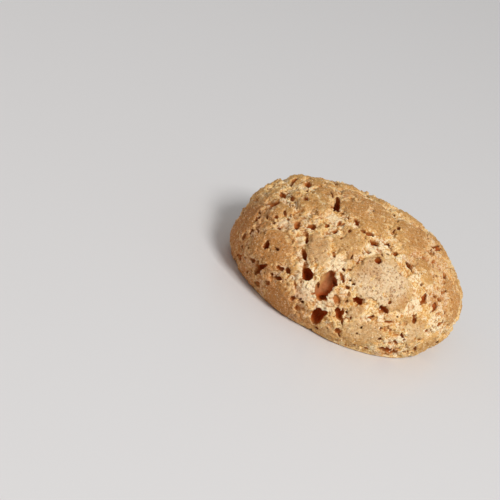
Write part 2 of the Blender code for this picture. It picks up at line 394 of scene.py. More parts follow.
def far_plates(shown):
    """Plates of chance size along the spiral, wherever none of the shown ones lies."""
    chance = random.Random(SEED)
    taken = [(place, max(half) * MM) for place, _, _, *half, _ in shown.values()]
    made = {}
    for index in range(FAR_PLATES):
        azimuth, rise = spiral_spot(index, FAR_PLATES)
        azimuth += math.degrees(chance.uniform(-FAR_PLATE_STRAY, FAR_PLATE_STRAY))
        half = chance.uniform(*FAR_PLATE_SIZES)
        turn = chance.uniform(0, 180)
        lift = chance.uniform(*FAR_PLATE_LIFTS)
        place, normal = spot(azimuth, rise)
        room = OWN_ROOM * half * MM
        if all(np.linalg.norm(place - other) > OTHER_ROOM * reach + room for other, reach in taken):
            breadth = FAR_PLATE_BREADTH * half
            made[f"far_{index}"] = (place, normal, skin_axes(normal, turn), half, breadth, lift)
            taken.append((place, half * MM))
    return made


def plate_reach(points, plate):
    """How far each point lies from the plate's middle, counted in the plate's own half sizes."""
    centre, normal, (along, across), length, breadth, _ = plate
    offset = points - centre
    return np.sqrt(
        (offset @ along / (length * MM)) ** 2
        + (offset @ across / (breadth * MM)) ** 2
        + (offset @ normal / (length * MM)) ** 2
    )


def within(spots, points):
    """How far each point lies inside one of the spots, in metres."""
    inside = np.full(len(points), -1.0)
    for across, down, reach in spots.values():
        away = np.linalg.norm(points - seen_spot(across, down)[0], axis=1)
        inside = np.maximum(inside, reach * MM - away)
    return inside


def plate_border(points, plates):
    """How far each point lies inside its own plate's cell, in metres, and that plate's lift."""
    first, second = np.full(len(points), 1.0), np.full(len(points), 1.0)
    lift = np.zeros(len(points))
    for plate in plates.values():
        size = (plate[3] + plate[4]) / 2 * MM
        away = (plate_reach(points, plate) - 1.0) * size
        nearer = away < first
        second = np.where(nearer, first, np.minimum(second, away))
        lift = np.where(nearer, plate[-1] * MM, lift)
        first = np.where(nearer, away, first)
    return np.minimum((second - first) / 2, GROWTH - first), lift


def plate_cover(points, plates):
    """At each point the share of whole skin, and how far the skin stands proud there."""
    wobble = sum(size * noise_at(points, scale) for scale, size in BORDER_WOBBLES)
    width = BORDER * np.clip(BORDER_MEAN + BORDER_SWING * noise_at(points, BORDER_DRIFT), *BORDER_LIMITS)
    border, lift = plate_border(points, plates)
    inside = np.maximum(border + wobble - width, within(WHOLE_SPOTS, points) + WHOLE_WOBBLE * wobble)
    inside = np.minimum(inside, -within(BURST_SPOTS, points) - BURST_WOBBLE * wobble)
    raised = smooth_step(-BORDER_EDGE, LIFT_EDGE, inside)
    flaking = sum(share * noise_at(points, scale) for scale, share in FLAKES)
    inside = np.minimum(inside, (FLAKE_LIMIT - flaking) * FLAKES[0][0])
    return smooth_step(-BORDER_EDGE, BORDER_EDGE, inside), lift * raised


SHOWN_PLATES = {
    name: (*seen_spot(across, down), picture_lines(turn), length, breadth, lift)
    for name, (across, down, length, breadth, turn, lift) in PLATES.items()
}
ALL_PLATES = {**SHOWN_PLATES, **far_plates(SHOWN_PLATES)}
print(len(PLATES), "named plates and", len(ALL_PLATES) - len(PLATES), "by rule")

# %% [markdown]
# ## The smooth dome
# An ico sphere has evenly spread faces and no pole, so it takes relief the same way all over. It is
# stretched to the dome's half sizes in edit mode. Long swells make it hand-dropped instead of turned:
# each is a Displace modifier that pushes along the normal, held to its place by a vertex group with soft
# weights, and slow noise adds a drift over the whole dome.

# %% The smooth dome
# azimuth, rise, reach and lift in mm
SWELLS = {
    "left_heel": (-167, -6, 4.2, 0.60),
    "left_flat": (-173, 11, 4.6, -0.65),
    "ridge_end": (154, 24, 4.6, 0.70),
    "back_dip": (108, 52, 5.5, -0.35),
    "right_bulge": (18, 15, 5.0, 0.25),
    "right_flat": (-20, -4, 4.0, -0.40),
    "front_right_foot": (-36, -16, 4.0, 0.40),
    "front_foot": (-77, -17, 3.6, 0.35),
    "front_left_flat": (-95, -14, 3.6, -0.35),
}
DRIFT_SCALE = 9.0 * MM
DRIFT_LIFT = 0.30 * MM
FOOT_LEVEL = 0.06 * MM
SPHERE_LEVELS = 6
DENSE_LEVELS = 2
WEIGHT_STEPS = 100


def select_only(piece):
    """Makes this piece the only selected one, and the active one."""
    bpy.ops.object.select_all(action="DESELECT")
    piece.select_set(True)
    bpy.context.view_layer.objects.active = piece


def apply_modifier(piece, made):
    """Makes a modifier's work part of the mesh."""
    select_only(piece)
    bpy.ops.object.modifier_apply(modifier=made.name)


def weigh(piece, weights):
    """The name of a new vertex group with those weights, given in even steps."""
    group = piece.vertex_groups.new(name="push")
    steps = np.round(np.clip(weights, 0.0, 1.0) * WEIGHT_STEPS).astype(int)
    for step in np.unique(steps[steps > 0]):
        group.add(np.flatnonzero(steps == step).tolist(), step / WEIGHT_STEPS, "REPLACE")
    return group.name


def push(piece, strength, weights=None, texture=None):
    """Moves the surface along its normals, held to the weights and shaped by the texture."""
    move = piece.modifiers.new("push", "DISPLACE")
    move.strength = strength
    move.mid_level = 0.5 if texture else 0.0
    if texture:
        move.texture = texture
        move.texture_coords = "GLOBAL"
    if weights is not None:
        move.vertex_group = weigh(piece, weights)
    apply_modifier(piece, move)
    piece.vertex_groups.clear()


def gauge_of(piece):
    """The piece's surface as it is now, to measure from later."""
    corners = [vertex.co.copy() for vertex in piece.data.vertices]
    return BVHTree.FromPolygons(corners, [tuple(face.vertices) for face in piece.data.polygons])


bpy.ops.object.select_all(action="DESELECT")
bpy.ops.mesh.primitive_ico_sphere_add(subdivisions=SPHERE_LEVELS, radius=1.0)
crust = bpy.context.object
crust.name = crust.data.name = "cookie_crust"
bpy.ops.object.mode_set(mode="EDIT")
bpy.ops.mesh.select_all(action="SELECT")
bpy.ops.transform.resize(value=HALF_SIZES.tolist())
bpy.ops.transform.translate(value=(0, 0, WAIST))
bpy.ops.object.mode_set(mode="OBJECT")
for azimuth, rise, reach, lift in SWELLS.values():
    away = np.linalg.norm(places(crust) - spot(azimuth, rise)[0], axis=1)
    push(crust, lift * MM, weights=np.exp(-((away / (reach * MM)) ** 2)))
drift = noise_at(places(crust), DRIFT_SCALE)
push(crust, DRIFT_LIFT, weights=drift)
push(crust, -DRIFT_LIFT, weights=-drift)
print("smooth dome", len(crust.data.polygons), "faces, size", (np.ptp(places(crust), axis=0) / MM).round(2))

# %% [markdown]
# ## The foot
# The foot baked flat on its sheet. A bisect adds a loop of edges round the dome at the foot's level, and
# all that lies below is then scaled flat in edit mode. So the foot keeps small faces like the rest, and
# its rim is a clean edge. This smooth form is kept as a gauge, and two plain subdivisions then make the
# faces small enough for the relief.

# %% The foot
select_only(crust)
bpy.ops.object.mode_set(mode="EDIT")
bpy.ops.mesh.select_mode(type="VERT")
bpy.ops.mesh.select_all(action="SELECT")
bpy.ops.mesh.bisect(plane_co=(0, 0, FOOT_LEVEL), plane_no=(0, 0, 1))
bpy.ops.mesh.select_all(action="DESELECT")
bpy.ops.object.mode_set(mode="OBJECT")
crust.data.vertices.foreach_set("select", places(crust)[:, 2] < FOOT_LEVEL)
bpy.ops.object.mode_set(mode="EDIT")
bpy.ops.transform.resize(value=(1, 1, 0), center_override=(0, 0, FOOT_LEVEL))
bpy.ops.object.mode_set(mode="OBJECT")
smooth_gauge = gauge_of(crust)
dense = crust.modifiers.new("dense", "SUBSURF")
dense.subdivision_type = "SIMPLE"
dense.levels = dense.render_levels = DENSE_LEVELS
apply_modifier(crust, dense)
print("with foot", len(crust.data.polygons), "faces, lowest", round(places(crust)[:, 2].min() / MM, 3), "mm")

# %% [markdown]
# ## Relief of the crust
# The skin lies a little high and the crumb between the plates a little low. Each of these is a push along
# the normals, held to its part of the crust by weights. Slow cloud noise keeps the plates from looking
# turned on a lathe. What is there now is kept as a second gauge: a pit's depth is counted from it. Then
# the crumb gets its foam, cell noise that is low in the middle of each cell and sharp along the walls
# between, and its chunks, cells at chance heights with a groove round each.

# %% Relief of the crust
CRUMB_DROP = 0.16 * MM
# scale and height of each noise
CRUMB_NOISE = (1.5 * MM, 0.50 * MM)
SKIN_NOISES = ((3.2 * MM, 0.42 * MM), (1.4 * MM, 0.24 * MM), (0.7 * MM, 0.16 * MM))
CHUNKS = (1.15 * MM, 0.60 * MM)
FOAM = (1.30 * MM, 0.50 * MM)
FOOT_NOISE = (0.9 * MM, 0.06 * MM)
# the foam comes in patches of this scale, round a mean strength
FOAM_PATCHES = 2.4 * MM
FOAM_MEAN = 0.75
FOAM_SWING = 1.2
# the relief starts at the foot and is full this far above it
FOOT_FADE = 0.5 * MM


def clouds(name, scale):
    """Soft noise without edges."""
    made = bpy.data.textures.new(name, "CLOUDS")
    made.noise_scale = scale
    made.noise_depth = 1
    return made


def cells(name, scale):
    """Noise that grows with the distance from scattered points, so its cells meet in sharp ridges."""
    made = bpy.data.textures.new(name, "VORONOI")
    made.noise_scale = scale
    return made


def chunks(name, scale):
    """Noise of cells at chance heights with a groove round each, like broken crumb."""
    made = cells(name, scale)
    made.color_mode = "POSITION_OUTLINE"
    return made


ground = places(crust)
above_foot = smooth_step(FOOT_LEVEL, FOOT_LEVEL + FOOT_FADE, ground[:, 2])
skin, lift = plate_cover(ground, ALL_PLATES)
highest_lift = lift.max()
crumb = (1.0 - skin) * above_foot
push(crust, highest_lift, weights=lift / highest_lift * above_foot)
push(crust, -CRUMB_DROP, weights=crumb)
push(crust, CRUMB_NOISE[1], weights=crumb, texture=clouds("crumb", CRUMB_NOISE[0]))
for number, (scale, height) in enumerate(SKIN_NOISES):
    push(crust, height, weights=above_foot, texture=clouds(f"skin_{number}", scale))
relief_gauge = gauge_of(crust)
foamy = crumb * np.clip(FOAM_MEAN + FOAM_SWING * noise_at(ground, FOAM_PATCHES), 0, 1)
push(crust, FOAM[1], weights=foamy, texture=cells("foam", FOAM[0]))
push(crust, CHUNKS[1], weights=crumb, texture=chunks("chunks", CHUNKS[0]))
push(crust, FOOT_NOISE[1], weights=1.0 - above_foot, texture=clouds("foot", FOOT_NOISE[0]))
print("skin covers", round(float(skin[above_foot > 0].mean()), 2), "of the crust")

# %% [markdown]
# ## Burst bubbles
# The holes are bubbles that burst as the cookie baked, and most are several that ran together. The ones
# that show from a step away are placed one by one, by their pixels: an ico sphere squeezed to its
# length, breadth and depth, and given lobes by a push of cell noise, so that its outline has arcs and
# sharp cusps. The smallest of them are pins, all of one size. A rule then sets slots, small bubbles
# stretched along the cracks between plates. One Boolean on their collection cuts them all.

# %% Named bubbles
# pixel across and down, then length, breadth and depth in mm and turn in degrees, as seen in the photo
BUBBLES = {
    "great": (326, 285.5, 4.4, 2.5, 1.5, 67),
    "great_upper": (331.5, 274.5, 1.5, 1.3, 1.4, 70),
    "great_lower": (320.5, 292.5, 2.4, 2.0, 1.5, 80),
    "great_foot": (322, 298.5, 1.7, 0.8, 1.7, 0),
    "great_left": (317, 285.5, 1.3, 0.6, 1.7, 80),
    "great_right": (335, 281, 1.6, 0.8, 1.8, 105),
    "great_tail": (313, 294, 0.8, 0.4, 0.6, 0),
    "left_of_great": (306.3, 273.6, 2.1, 1.75, 2.2, 100),
    "under_great": (316.5, 317.5, 2.5, 1.9, 2.0, 75),
    "under_great_arm": (322.5, 314.3, 1.4, 1.0, 1.5, -10),
    "right_of_great": (338, 314, 2.0, 1.0, 1.4, 100),
    "right_of_great_side": (342, 312.5, 1.3, 0.5, 0.9, 90),
    "right_of_great_trough": (336.5, 300.5, 2.4, 1.1, 0.5, 100),
    "right_groove": (342.5, 277.5, 1.9, 0.6, 0.7, -72),
    "right_groove_top": (344, 269.5, 0.8, 0.4, 0.8, -50),
    "pale_notch": (350, 269, 0.9, 0.6, 0.6, -20),
    "pale_pit": (347.5, 287.5, 0.7, 0.5, 0.6, 0),
    "pale_left": (358, 300.5, 1.5, 1.1, 1.4, -35),
    "pale_foot": (384, 308.7, 1.9, 0.7, 1.3, -42),
    "pale_top": (379, 260.3, 1.3, 1.0, 1.2, -60),
    "pale_line": (351.5, 257.5, 1.3, 0.3, 0.5, 68),
    "pale_line_low": (358, 261.5, 1.3, 0.3, 0.5, 58),
    "pale_streak": (346.5, 302, 0.8, 0.45, 0.7, 60),
    "left_low": (258.5, 269.5, 1.8, 1.1, 1.6, 60),
    "left_low_arm": (264, 265.5, 1.2, 0.65, 1.2, 15),
    "left_low_upper": (252.3, 261, 0.9, 0.5, 0.8, -60),
    "left_low_pit": (257.3, 261.8, 0.7, 0.5, 0.8, -50),
    "left_low_floor": (255.5, 266, 0.9, 0.7, 0.8, 0),
    "left_plate_hole": (265.7, 244.5, 1.7, 0.8, 1.5, 62),
    "left_plate_lobe": (264.5, 246.5, 0.9, 0.8, 1.2, 0),
    "left_plate_slot": (276.6, 248.8, 0.9, 0.45, 0.9, -35),
    "left_plate_low": (279.3, 268.3, 1.3, 0.75, 1.1, -25),
    "left_plate_corner": (288.5, 270.3, 1.0, 0.9, 1.0, -45),
    "left_edge_slot": (277.5, 278.2, 1.4, 0.65, 1.1, -20),
    "left_edge_low": (266.3, 283.5, 1.2, 0.8, 0.8, -25),
    "left_foot_slot": (257.3, 284.2, 1.1, 0.35, 0.5, -55),
    "left_heel_pit": (246.7, 272.2, 0.6, 0.4, 0.5, 80),
    "side_crack_hole": (257.6, 218.5, 1.3, 0.7, 1.1, 50),
    "side_crack_high": (250.6, 231, 1.1, 0.5, 0.8, 55),
    "side_crack_mid": (243.3, 236.5, 1.2, 0.6, 0.9, 72),
    "side_crack_low": (242.1, 247.5, 0.9, 0.4, 0.7, 95),
    "side_crack_foot": (238.7, 257.5, 1.2, 0.6, 0.7, 100),
    "side_groove": (257.6, 230.5, 1.3, 0.35, 0.5, -55),
    "ridge_notch": (337, 205, 2.3, 1.0, 1.4, 92),
    "ridge_notch_left": (333.8, 208.8, 1.5, 1.0, 1.3, 30),
    "ridge_notch_tail": (341.8, 212.9, 1.0, 0.4, 0.7, -20),
    "ridge_notch_crack": (332.3, 194.5, 1.4, 0.35, 0.5, -62),
    "ridge_left": (271, 201.5, 2.7, 1.5, 0.7, 10),
    "ridge_left_deep": (273.5, 204, 1.6, 0.8, 1.0, 15),
    "ridge_left_pit": (264.5, 203, 0.6, 0.5, 0.7, 0),
    "ridge_hole": (292, 198.2, 0.8, 0.6, 0.6, 0),
    "ridge_hole_high": (305, 198.3, 1.4, 0.7, 0.8, -15),
    "ridge_soft": (284.5, 212.5, 1.1, 0.7, 0.6, 80),
    "ridge_low_left": (267.3, 215.3, 0.9, 0.5, 0.7, 80),
    "ridge_low_mid": (276, 216.5, 0.8, 0.5, 0.7, -20),
    "ridge_low_slot": (278.8, 228.2, 0.9, 0.4, 0.6, -20),
    "ridge_front": (311.5, 226, 1.9, 1.1, 1.3, -15),
    "ridge_front_left": (297, 225.5, 1.8, 1.0, 0.9, 75),
    "middle_slot": (304.5, 255, 1.7, 0.85, 1.2, -78),
    "middle_top": (307, 240, 1.1, 0.6, 1.0, 70),
    "middle_top_line": (306.5, 234, 0.9, 0.35, 0.5, 0),
    "notch_front": (327, 225.5, 0.9, 0.55, 0.8, 30),
    "notch_front_low": (335, 231, 1.0, 0.6, 0.9, 10),
    "notch_front_right": (339.3, 221.7, 0.7, 0.4, 0.6, 0),
    "upper_hole": (341.8, 237, 0.9, 0.55, 0.8, 45),
    "upper_round": (349.6, 230.2, 0.6, 0.6, 0.8, 0),
    "back_far": (357, 220.3, 1.2, 0.5, 1.0, -38),
    "back_left": (370, 233.7, 1.5, 0.6, 1.1, -25),
    "back_left_high": (363.3, 230.8, 0.9, 0.5, 0.7, -20),
    "back_slot": (374.6, 242.4, 1.6, 0.65, 1.2, -27),
    "back_pit": (368.5, 252.5, 0.8, 0.5, 0.6, -20),
    "back_round": (387.5, 243.8, 1.1, 0.8, 1.2, 0),
    "back_round_tail": (390.2, 248.5, 0.9, 0.5, 0.9, -65),
    "back_right": (396, 253.3, 0.9, 0.55, 0.8, -15),
    "back_line": (387.2, 254.6, 0.8, 0.35, 0.5, -40),
    "right_slot": (409.2, 265.7, 1.9, 0.65, 1.3, -57),
    "right_slot_beside": (414, 264.3, 1.3, 0.4, 0.7, -75),
    "right_upright": (425, 298.3, 2.1, 0.85, 1.2, 75),
    "right_edge": (435.8, 306.7, 1.6, 0.8, 1.2, 58),
    "right_edge_tail": (431, 311.7, 0.7, 0.35, 0.7, 45),
    "right_edge_high": (439.7, 299.3, 0.7, 0.6, 0.8, -50),
    "right_edge_low": (444.3, 312.3, 0.65, 0.6, 0.6, 0),
    "right_low": (415, 319.8, 1.2, 0.75, 1.2, 85),
    "right_low_top": (416.6, 315, 0.7, 0.35, 0.7, 75),
    "right_side_slit": (445, 275.3, 1.3, 0.5, 0.9, -70),
    "right_side_dent": (444.3, 291.7, 0.8, 0.4, 0.6, 0),
    "right_side_low": (440.5, 324.7, 1.3, 0.4, 0.8, 55),
    "right_side_pin": (427, 331, 0.7, 0.6, 1.0, 80),
    "rim_notch": (436.5, 248.7, 1.6, 0.9, 0.9, -5),
    "foot_groove": (389.5, 352, 3.4, 0.85, 0.9, -15),
    "foot_dent": (366.5, 349.3, 0.8, 0.35, 0.5, -5),
    "low_round": (291.7, 298.8, 0.8, 0.75, 1.0, 0),
    "low_cluster": (302.5, 302.3, 0.7, 0.6, 0.7, 0),
    "low_pit": (337.5, 331.6, 1.1, 0.85, 0.6, -20),
    "low_pit_tail": (338.8, 336.3, 0.7, 0.35, 0.7, -50),
    "low_left_slot": (316.5, 328.3, 0.8, 0.4, 0.6, -50),
    "low_groove": (342, 321.5, 1.6, 0.35, 0.5, -85),
    "low_shelf": (402.5, 336, 0.9, 0.5, 0.8, -50),
    "low_shelf_pit": (404.3, 340.3, 0.5, 0.45, 0.9, 80),
    "low_shelf_left": (396, 343.5, 1.0, 0.45, 0.6, -60),
    "low_chain": (389.3, 322, 1.4, 0.4, 0.6, -5),
    "front_pin": (361.2, 328.2, 0.65, 0.4, 0.9, 55),
    "front_low_pin": (381.5, 330, 0.75, 0.5, 1.0, 95),
    "front_low_hole": (379.8, 340, 0.8, 0.7, 0.9, -35),
    "top_edge_slot": (292.5, 180.5, 2.0, 0.6, 0.9, 20),
    "top_edge_hole": (307.5, 182.5, 1.1, 0.9, 0.9, -50),
    "top_edge_low": (282.6, 193.5, 1.2, 0.8, 0.9, -30),
}
# small round holes: pixel across and down, all of one size
PINS = {
    "pale_edge": (350.7, 280),
    "pale_edge_low": (353.8, 284),
    "pale_right": (401.5, 273.5),
    "pale_foot": (397.3, 316.8),
    "below_pale": (350.7, 318.7),
    "right_of_great": (346.5, 312.5),
    "front": (356.5, 334.5),
    "low_left": (327, 329.3),
    "rim_left": (310.5, 330.2),
    "side_crack": (259.2, 212),
    "ridge_foot": (287.8, 218.7),
    "middle_slot": (302.7, 249.3),
    "middle_slot_low": (304.3, 264.5),
    "left_low": (271.5, 274),
    "left_heel": (250, 275.5),
    "low_cluster": (300.3, 299),
    "right_slot": (411.5, 255.3),
    "right_middle": (422.3, 284),
    "right_edge": (436, 296.5),
    "notch_right": (344, 223),
    "crown_foot": (349, 216),
}
PIN_SIZES = (0.45, 0.40, 0.75, 0)
# few faces, so that the mouths come out angular, as torn crumb does
BUBBLE_LEVELS = 2
# size and height of the lumps against the bubble's breadth, or against the widest lumped one in mm
BUBBLE_LUMPS = ((0.80, 0.48), (0.36, 0.30))
WIDEST_LUMPED = 1.5
# the even surface made later closes a little of each mouth
MOUTH_GROWTH = 1.09
# a bubble's middle lies below the skin by this share of its depth
SINK = 0.18
SLOT_TRIALS = 5000
# a slot lies this near to the border between two plates, and this far from all other mouths
SLOT_REACH = 0.25 * MM
SLOT_SPACING = 2.2 * MM
# least and greatest sizes in mm; the higher the skew, the more slots are short
SLOT_LENGTH = (0.6, 2.2)
SLOT_SKEW = 1.6
SLOT_BREADTH = (0.35, 0.75)
SLOT_DEPTH = (0.35, 0.85)
# how far, as an angle, a slot strays from the line of its crack
SLOT_LEAN = 0.40
LOWEST_SLOT = 1.2 * MM
PROBE = 0.2 * MM


def mouth_place(across, down):
    """The place on the crust, relief and all, that a pixel of the photo shows."""
    place = relief_gauge.ray_cast(camera.location, photo_ray(across, down))[0]
    if place is None:
        place = relief_gauge.find_nearest(seen_spot(across, down)[0])[0]
    return np.array(place)


def photo_bubble(name, place, length, breadth, depth, turn):
    """A bubble whose mouth shows in the photo at that place, with that size and turn in the picture."""
    normal = dome_normal(place)
    sizes = (MOUTH_GROWTH * length, MOUTH_GROWTH * breadth, depth)
    return lobed_bubble(name, place, normal, picture_axes(place, normal, turn), sizes)


def lobed_bubble(name, centre, normal, axes, sizes):
    """One lumpy bubble, its own object, a little below the skin so that its rim overhangs."""
    along, across = axes
    length, breadth, depth = sizes
    bpy.ops.mesh.primitive_ico_sphere_add(subdivisions=BUBBLE_LEVELS, radius=1.0)
    bubble = bpy.context.object
    bubble.name = name
    turned = Matrix((along, across, normal)).transposed().to_4x4()
    stretch = Matrix.Diagonal((length / 2 * MM, breadth / 2 * MM, depth * MM, 1.0))
    bubble.data.transform(Matrix.Translation(centre - SINK * depth * MM * normal) @ turned @ stretch)
    lump = min(breadth, WIDEST_LUMPED) * MM
    for scale, height in BUBBLE_LUMPS:
        push(bubble, -height * lump, texture=cells(name, scale * lump))
    return bubble


def crack_places(plates, mouths, chance):
    """Places in the cracks, no nearer to each other or to a mouth than the spacing, with their normals."""
    trials = [spot(*spiral_spot(index, SLOT_TRIALS)) for index in range(SLOT_TRIALS)]
    chance.shuffle(trials)
    points = np.array([point for point, _ in trials])
    inside, _ = plate_border(points, plates)
    taken, kept = list(mouths), []
    for index in np.flatnonzero((inside < SLOT_REACH) & (points[:, 2] > LOWEST_SLOT)):
        if all(np.linalg.norm(points[index] - other) > SLOT_SPACING for other in taken):
            taken.append(points[index])
            kept.append(trials[index])
    return kept


def crack_slots(plates, mouths, chance):
    """Small bubbles in rows along the cracks between plates, each stretched along its crack."""
    made = []
    for point, normal in crack_places(plates, mouths, chance):
        level, upward = skin_axes(normal, 0)
        probes = point + PROBE * np.array([level, -level, upward, -upward])
        inside, _ = plate_border(probes, plates)
        crack_turn = math.atan2(inside[2] - inside[3], inside[0] - inside[1]) + math.pi / 2
        turn = math.degrees(crack_turn + chance.gauss(0, SLOT_LEAN))
        length = SLOT_LENGTH[0] + (SLOT_LENGTH[1] - SLOT_LENGTH[0]) * chance.random() ** SLOT_SKEW
        sizes = (length, chance.uniform(*SLOT_BREADTH), chance.uniform(*SLOT_DEPTH))
        centre = np.array(relief_gauge.find_nearest(point)[0])
        made.append(lobed_bubble(f"slot_{len(made)}", centre, normal, skin_axes(normal, turn), sizes))
    return made


def shape_collection(name, shapes):
    """A new collection in the scene that these shapes are moved to."""
    collection = bpy.data.collections.new(name)
    bpy.context.scene.collection.children.link(collection)
    for shape in shapes:
        for owner in list(shape.users_collection):
            owner.objects.unlink(shape)
        collection.objects.link(shape)
    return collection


def drop_collection(collection):
    """Removes a collection and the shapes in it."""
    for shape in list(collection.objects):
        bpy.data.objects.remove(shape)
    bpy.data.collections.remove(collection)


def cut(piece, cutters):
    """Cuts a collection of closed shapes from the piece, then removes them."""
    opening = piece.modifiers.new("cut", "BOOLEAN")
    opening.operation = "DIFFERENCE"
    opening.operand_type = "COLLECTION"
    opening.collection = cutters
    opening.solver = "MANIFOLD"
    apply_modifier(piece, opening)
    drop_collection(cutters)


shown_bubbles = {**BUBBLES, **{f"pin_{name}": (*pixel, *PIN_SIZES) for name, pixel in PINS.items()}}
mouths = {name: mouth_place(*row[:2]) for name, row in shown_bubbles.items()}
bubbles = [photo_bubble(name, mouths[name], *row[2:]) for name, row in shown_bubbles.items()]
slots = crack_slots(ALL_PLATES, mouths.values(), random.Random(SEED + 1))
cut(crust, shape_collection("named_cutters", bubbles + slots))
print(len(mouths), "placed bubbles and", len(slots), "slots cut, now", len(crust.data.polygons), "faces")

# %% [markdown]
# ## Small bubbles by the hundred
# Smaller bubbles lie everywhere in the crumb, in three sizes. Placing them by hand would take days, so a
# Geometry Nodes modifier scatters them over the smooth dome: points no nearer to each other than the
# spacing, thinned out where the skin is whole, each with one of a few lumpy bubbles at a random size and
# turn. Realized and applied, the scatter is a plain mesh of separate closed shapes, ready to cut with.

# %% A scatter tool
# how far, as an angle, a scattered shape leans from the surface's normal at most
LEAN = 0.35
SCATTER_VALUES = ("Spacing", "Density", "Smallest", "Largest", "Power", "Sink")


def add_sockets(tree, way, **kinds):
    """Gives a node group its inputs or its outputs, each with a name and a kind."""
    for name, kind in kinds.items():
        tree.interface.new_socket(name, in_out=way, socket_type=f"NodeSocket{kind}")


def feed(tree, socket, value):
    """Links another socket to this one, or sets it to a plain value."""
    if isinstance(value, bpy.types.NodeSocket):
        tree.links.new(value, socket)
    else:
        socket.default_value = value


def add_node(tree, kind, inputs, **settings):
    """A new node with its settings made and its inputs fed."""
    made = tree.nodes.new(kind)
    for name, value in settings.items():
        setattr(made, name, value)
    for name, value in inputs.items():
        feed(tree, made.inputs[name], value)
    return made


def sums(tree, operation, first, second):
    """The result of a sum of two values, each a socket or a number."""
    return add_node(tree, "ShaderNodeMath", {0: first, 1: second}, operation=operation).outputs[0]


def scatter_tree():
    """Geometry Nodes: shapes of a collection on a surface, spaced out, sized and turned by chance."""
    tree = bpy.data.node_groups.new("scatter", "GeometryNodeTree")
    add_sockets(tree, "INPUT", Surface="Geometry", Shapes="Collection")
    add_sockets(tree, "INPUT", **dict.fromkeys(SCATTER_VALUES, "Float"), Seed="Int")
    add_sockets(tree, "OUTPUT", Pieces="Geometry")
    given = tree.nodes.new("NodeGroupInput").outputs
    out = tree.nodes.new("NodeGroupOutput")
    share = add_node(tree, "GeometryNodeInputNamedAttribute", {"Name": "openness"})
    spread = {
        "Mesh": given["Surface"],
        "Distance Min": given["Spacing"],
        "Density Max": given["Density"],
        "Density Factor": share.outputs["Attribute"],
        "Seed": given["Seed"],
    }
    points = add_node(tree, "GeometryNodeDistributePointsOnFaces", spread, distribute_method="POISSON")
    choice = {"Separate Children": True, "Reset Children": True, "Collection": given["Shapes"]}
    shapes = add_node(tree, "GeometryNodeCollectionInfo", choice)
    chance = add_node(tree, "FunctionNodeRandomValue", {"Seed": given["Seed"]}, data_type="FLOAT")
    skew = sums(tree, "POWER", chance.outputs[1], given["Power"])
    span = {"Value": skew, "To Min": given["Smallest"], "To Max": given["Largest"]}
    size = add_node(tree, "ShaderNodeMapRange", span).outputs["Result"]
    turns = {0: (-LEAN, -LEAN, -math.pi), 1: (LEAN, LEAN, math.pi), "Seed": given["Seed"]}
    turn = add_node(tree, "FunctionNodeRandomValue", turns, data_type="FLOAT_VECTOR")
    both = {"Rotation": points.outputs["Rotation"], "Rotate By": turn.outputs[0]}
    spin = add_node(tree, "FunctionNodeRotateRotation", both, rotation_space="LOCAL")
    drop = {0: points.outputs["Normal"], "Scale": sums(tree, "MULTIPLY", given["Sink"], size)}
    lower = add_node(tree, "ShaderNodeVectorMath", drop, operation="SCALE")
    moved = {"Geometry": points.outputs["Points"], "Offset": lower.outputs[0]}
    sunk = add_node(tree, "GeometryNodeSetPosition", moved)
    setting = {
        "Pick Instance": True,
        "Points": sunk.outputs["Geometry"],
        "Instance": shapes.outputs["Instances"],
        "Rotation": spin.outputs["Rotation"],
        "Scale": size,
    }
    placed = add_node(tree, "GeometryNodeInstanceOnPoints", setting)
    real = add_node(tree, "GeometryNodeRealizeInstances", {"Geometry": placed.outputs["Instances"]})
    feed(tree, out.inputs["Pieces"], real.outputs["Geometry"])
    return tree


def scatter(name, surface, shapes, seed, values):
    """A new piece made of the shapes, scattered over a copy of the surface."""
    piece = surface.copy()
    piece.data = surface.data.copy()
    piece.name = piece.data.name = name
    bpy.context.scene.collection.objects.link(piece)
    made = piece.modifiers.new("scatter", "NODES")
    made.node_group = SCATTER
    chosen = {"Shapes": shapes, "Seed": seed, **dict(zip(SCATTER_VALUES, values))}
    for socket in SCATTER.interface.items_tree:
        if socket.name in chosen:
            made[socket.identifier] = chosen[socket.name]
    apply_modifier(piece, made)
    return piece


def mark(piece, name, values):
    """Keeps one number for each vertex on the mesh."""
    made = piece.data.attributes.get(name) or piece.data.attributes.new(name, "FLOAT", "POINT")
    made.data.foreach_set("value", np.asarray(values, np.float32))


SCATTER = scatter_tree()
print("the scatter has", len(SCATTER.nodes), "nodes")

# %% [markdown]
# ## The lumpy shapes
# A few lumpy balls of radius about one serve as the small bubbles. Each is squeezed a little differently
# and given lobes by cell noise, so no two openings look alike once they are turned and sized.

# %% Lumpy shapes
BALLS = 8
BALL_LEVELS = 2
BALL_SQUEEZE = (0.55, 0.95)
# scale and height of the lumps, which make a ball of the plain radius about as large as one
BALL_LUMPS = (0.9, -0.85)
BALL_RADIUS = 0.8
# each ball takes its lumps from a place of its own in the noise
BALL_STEP = 5.0


def lumpy_ball(name, levels, at, squeeze, lumps):
    """A ball of radius about one, shaped at its own place in the noise and then brought home."""
    bpy.ops.object.select_all(action="DESELECT")
    bpy.ops.mesh.primitive_ico_sphere_add(subdivisions=levels, radius=BALL_RADIUS, location=(at, 0, 0))
    bpy.ops.object.transform_apply(location=True)
    ball = bpy.context.object
    ball.name = name
    push(ball, lumps[1], texture=cells(name, lumps[0]))
    ball.data.transform(Matrix.Diagonal((1.0, squeeze, 1.0, 1.0)) @ Matrix.Translation((-at, 0, 0)))
    return ball


def lumpy_balls(name, count, levels, start, squeeze, lumps):
    """A collection of lumpy balls, each squeezed by chance."""
    balls = [
        lumpy_ball(f"{name}_{number}", levels, start + BALL_STEP * number, chance.uniform(*squeeze), lumps)
        for number in range(count)
    ]
    return shape_collection(f"{name}_shapes", balls)


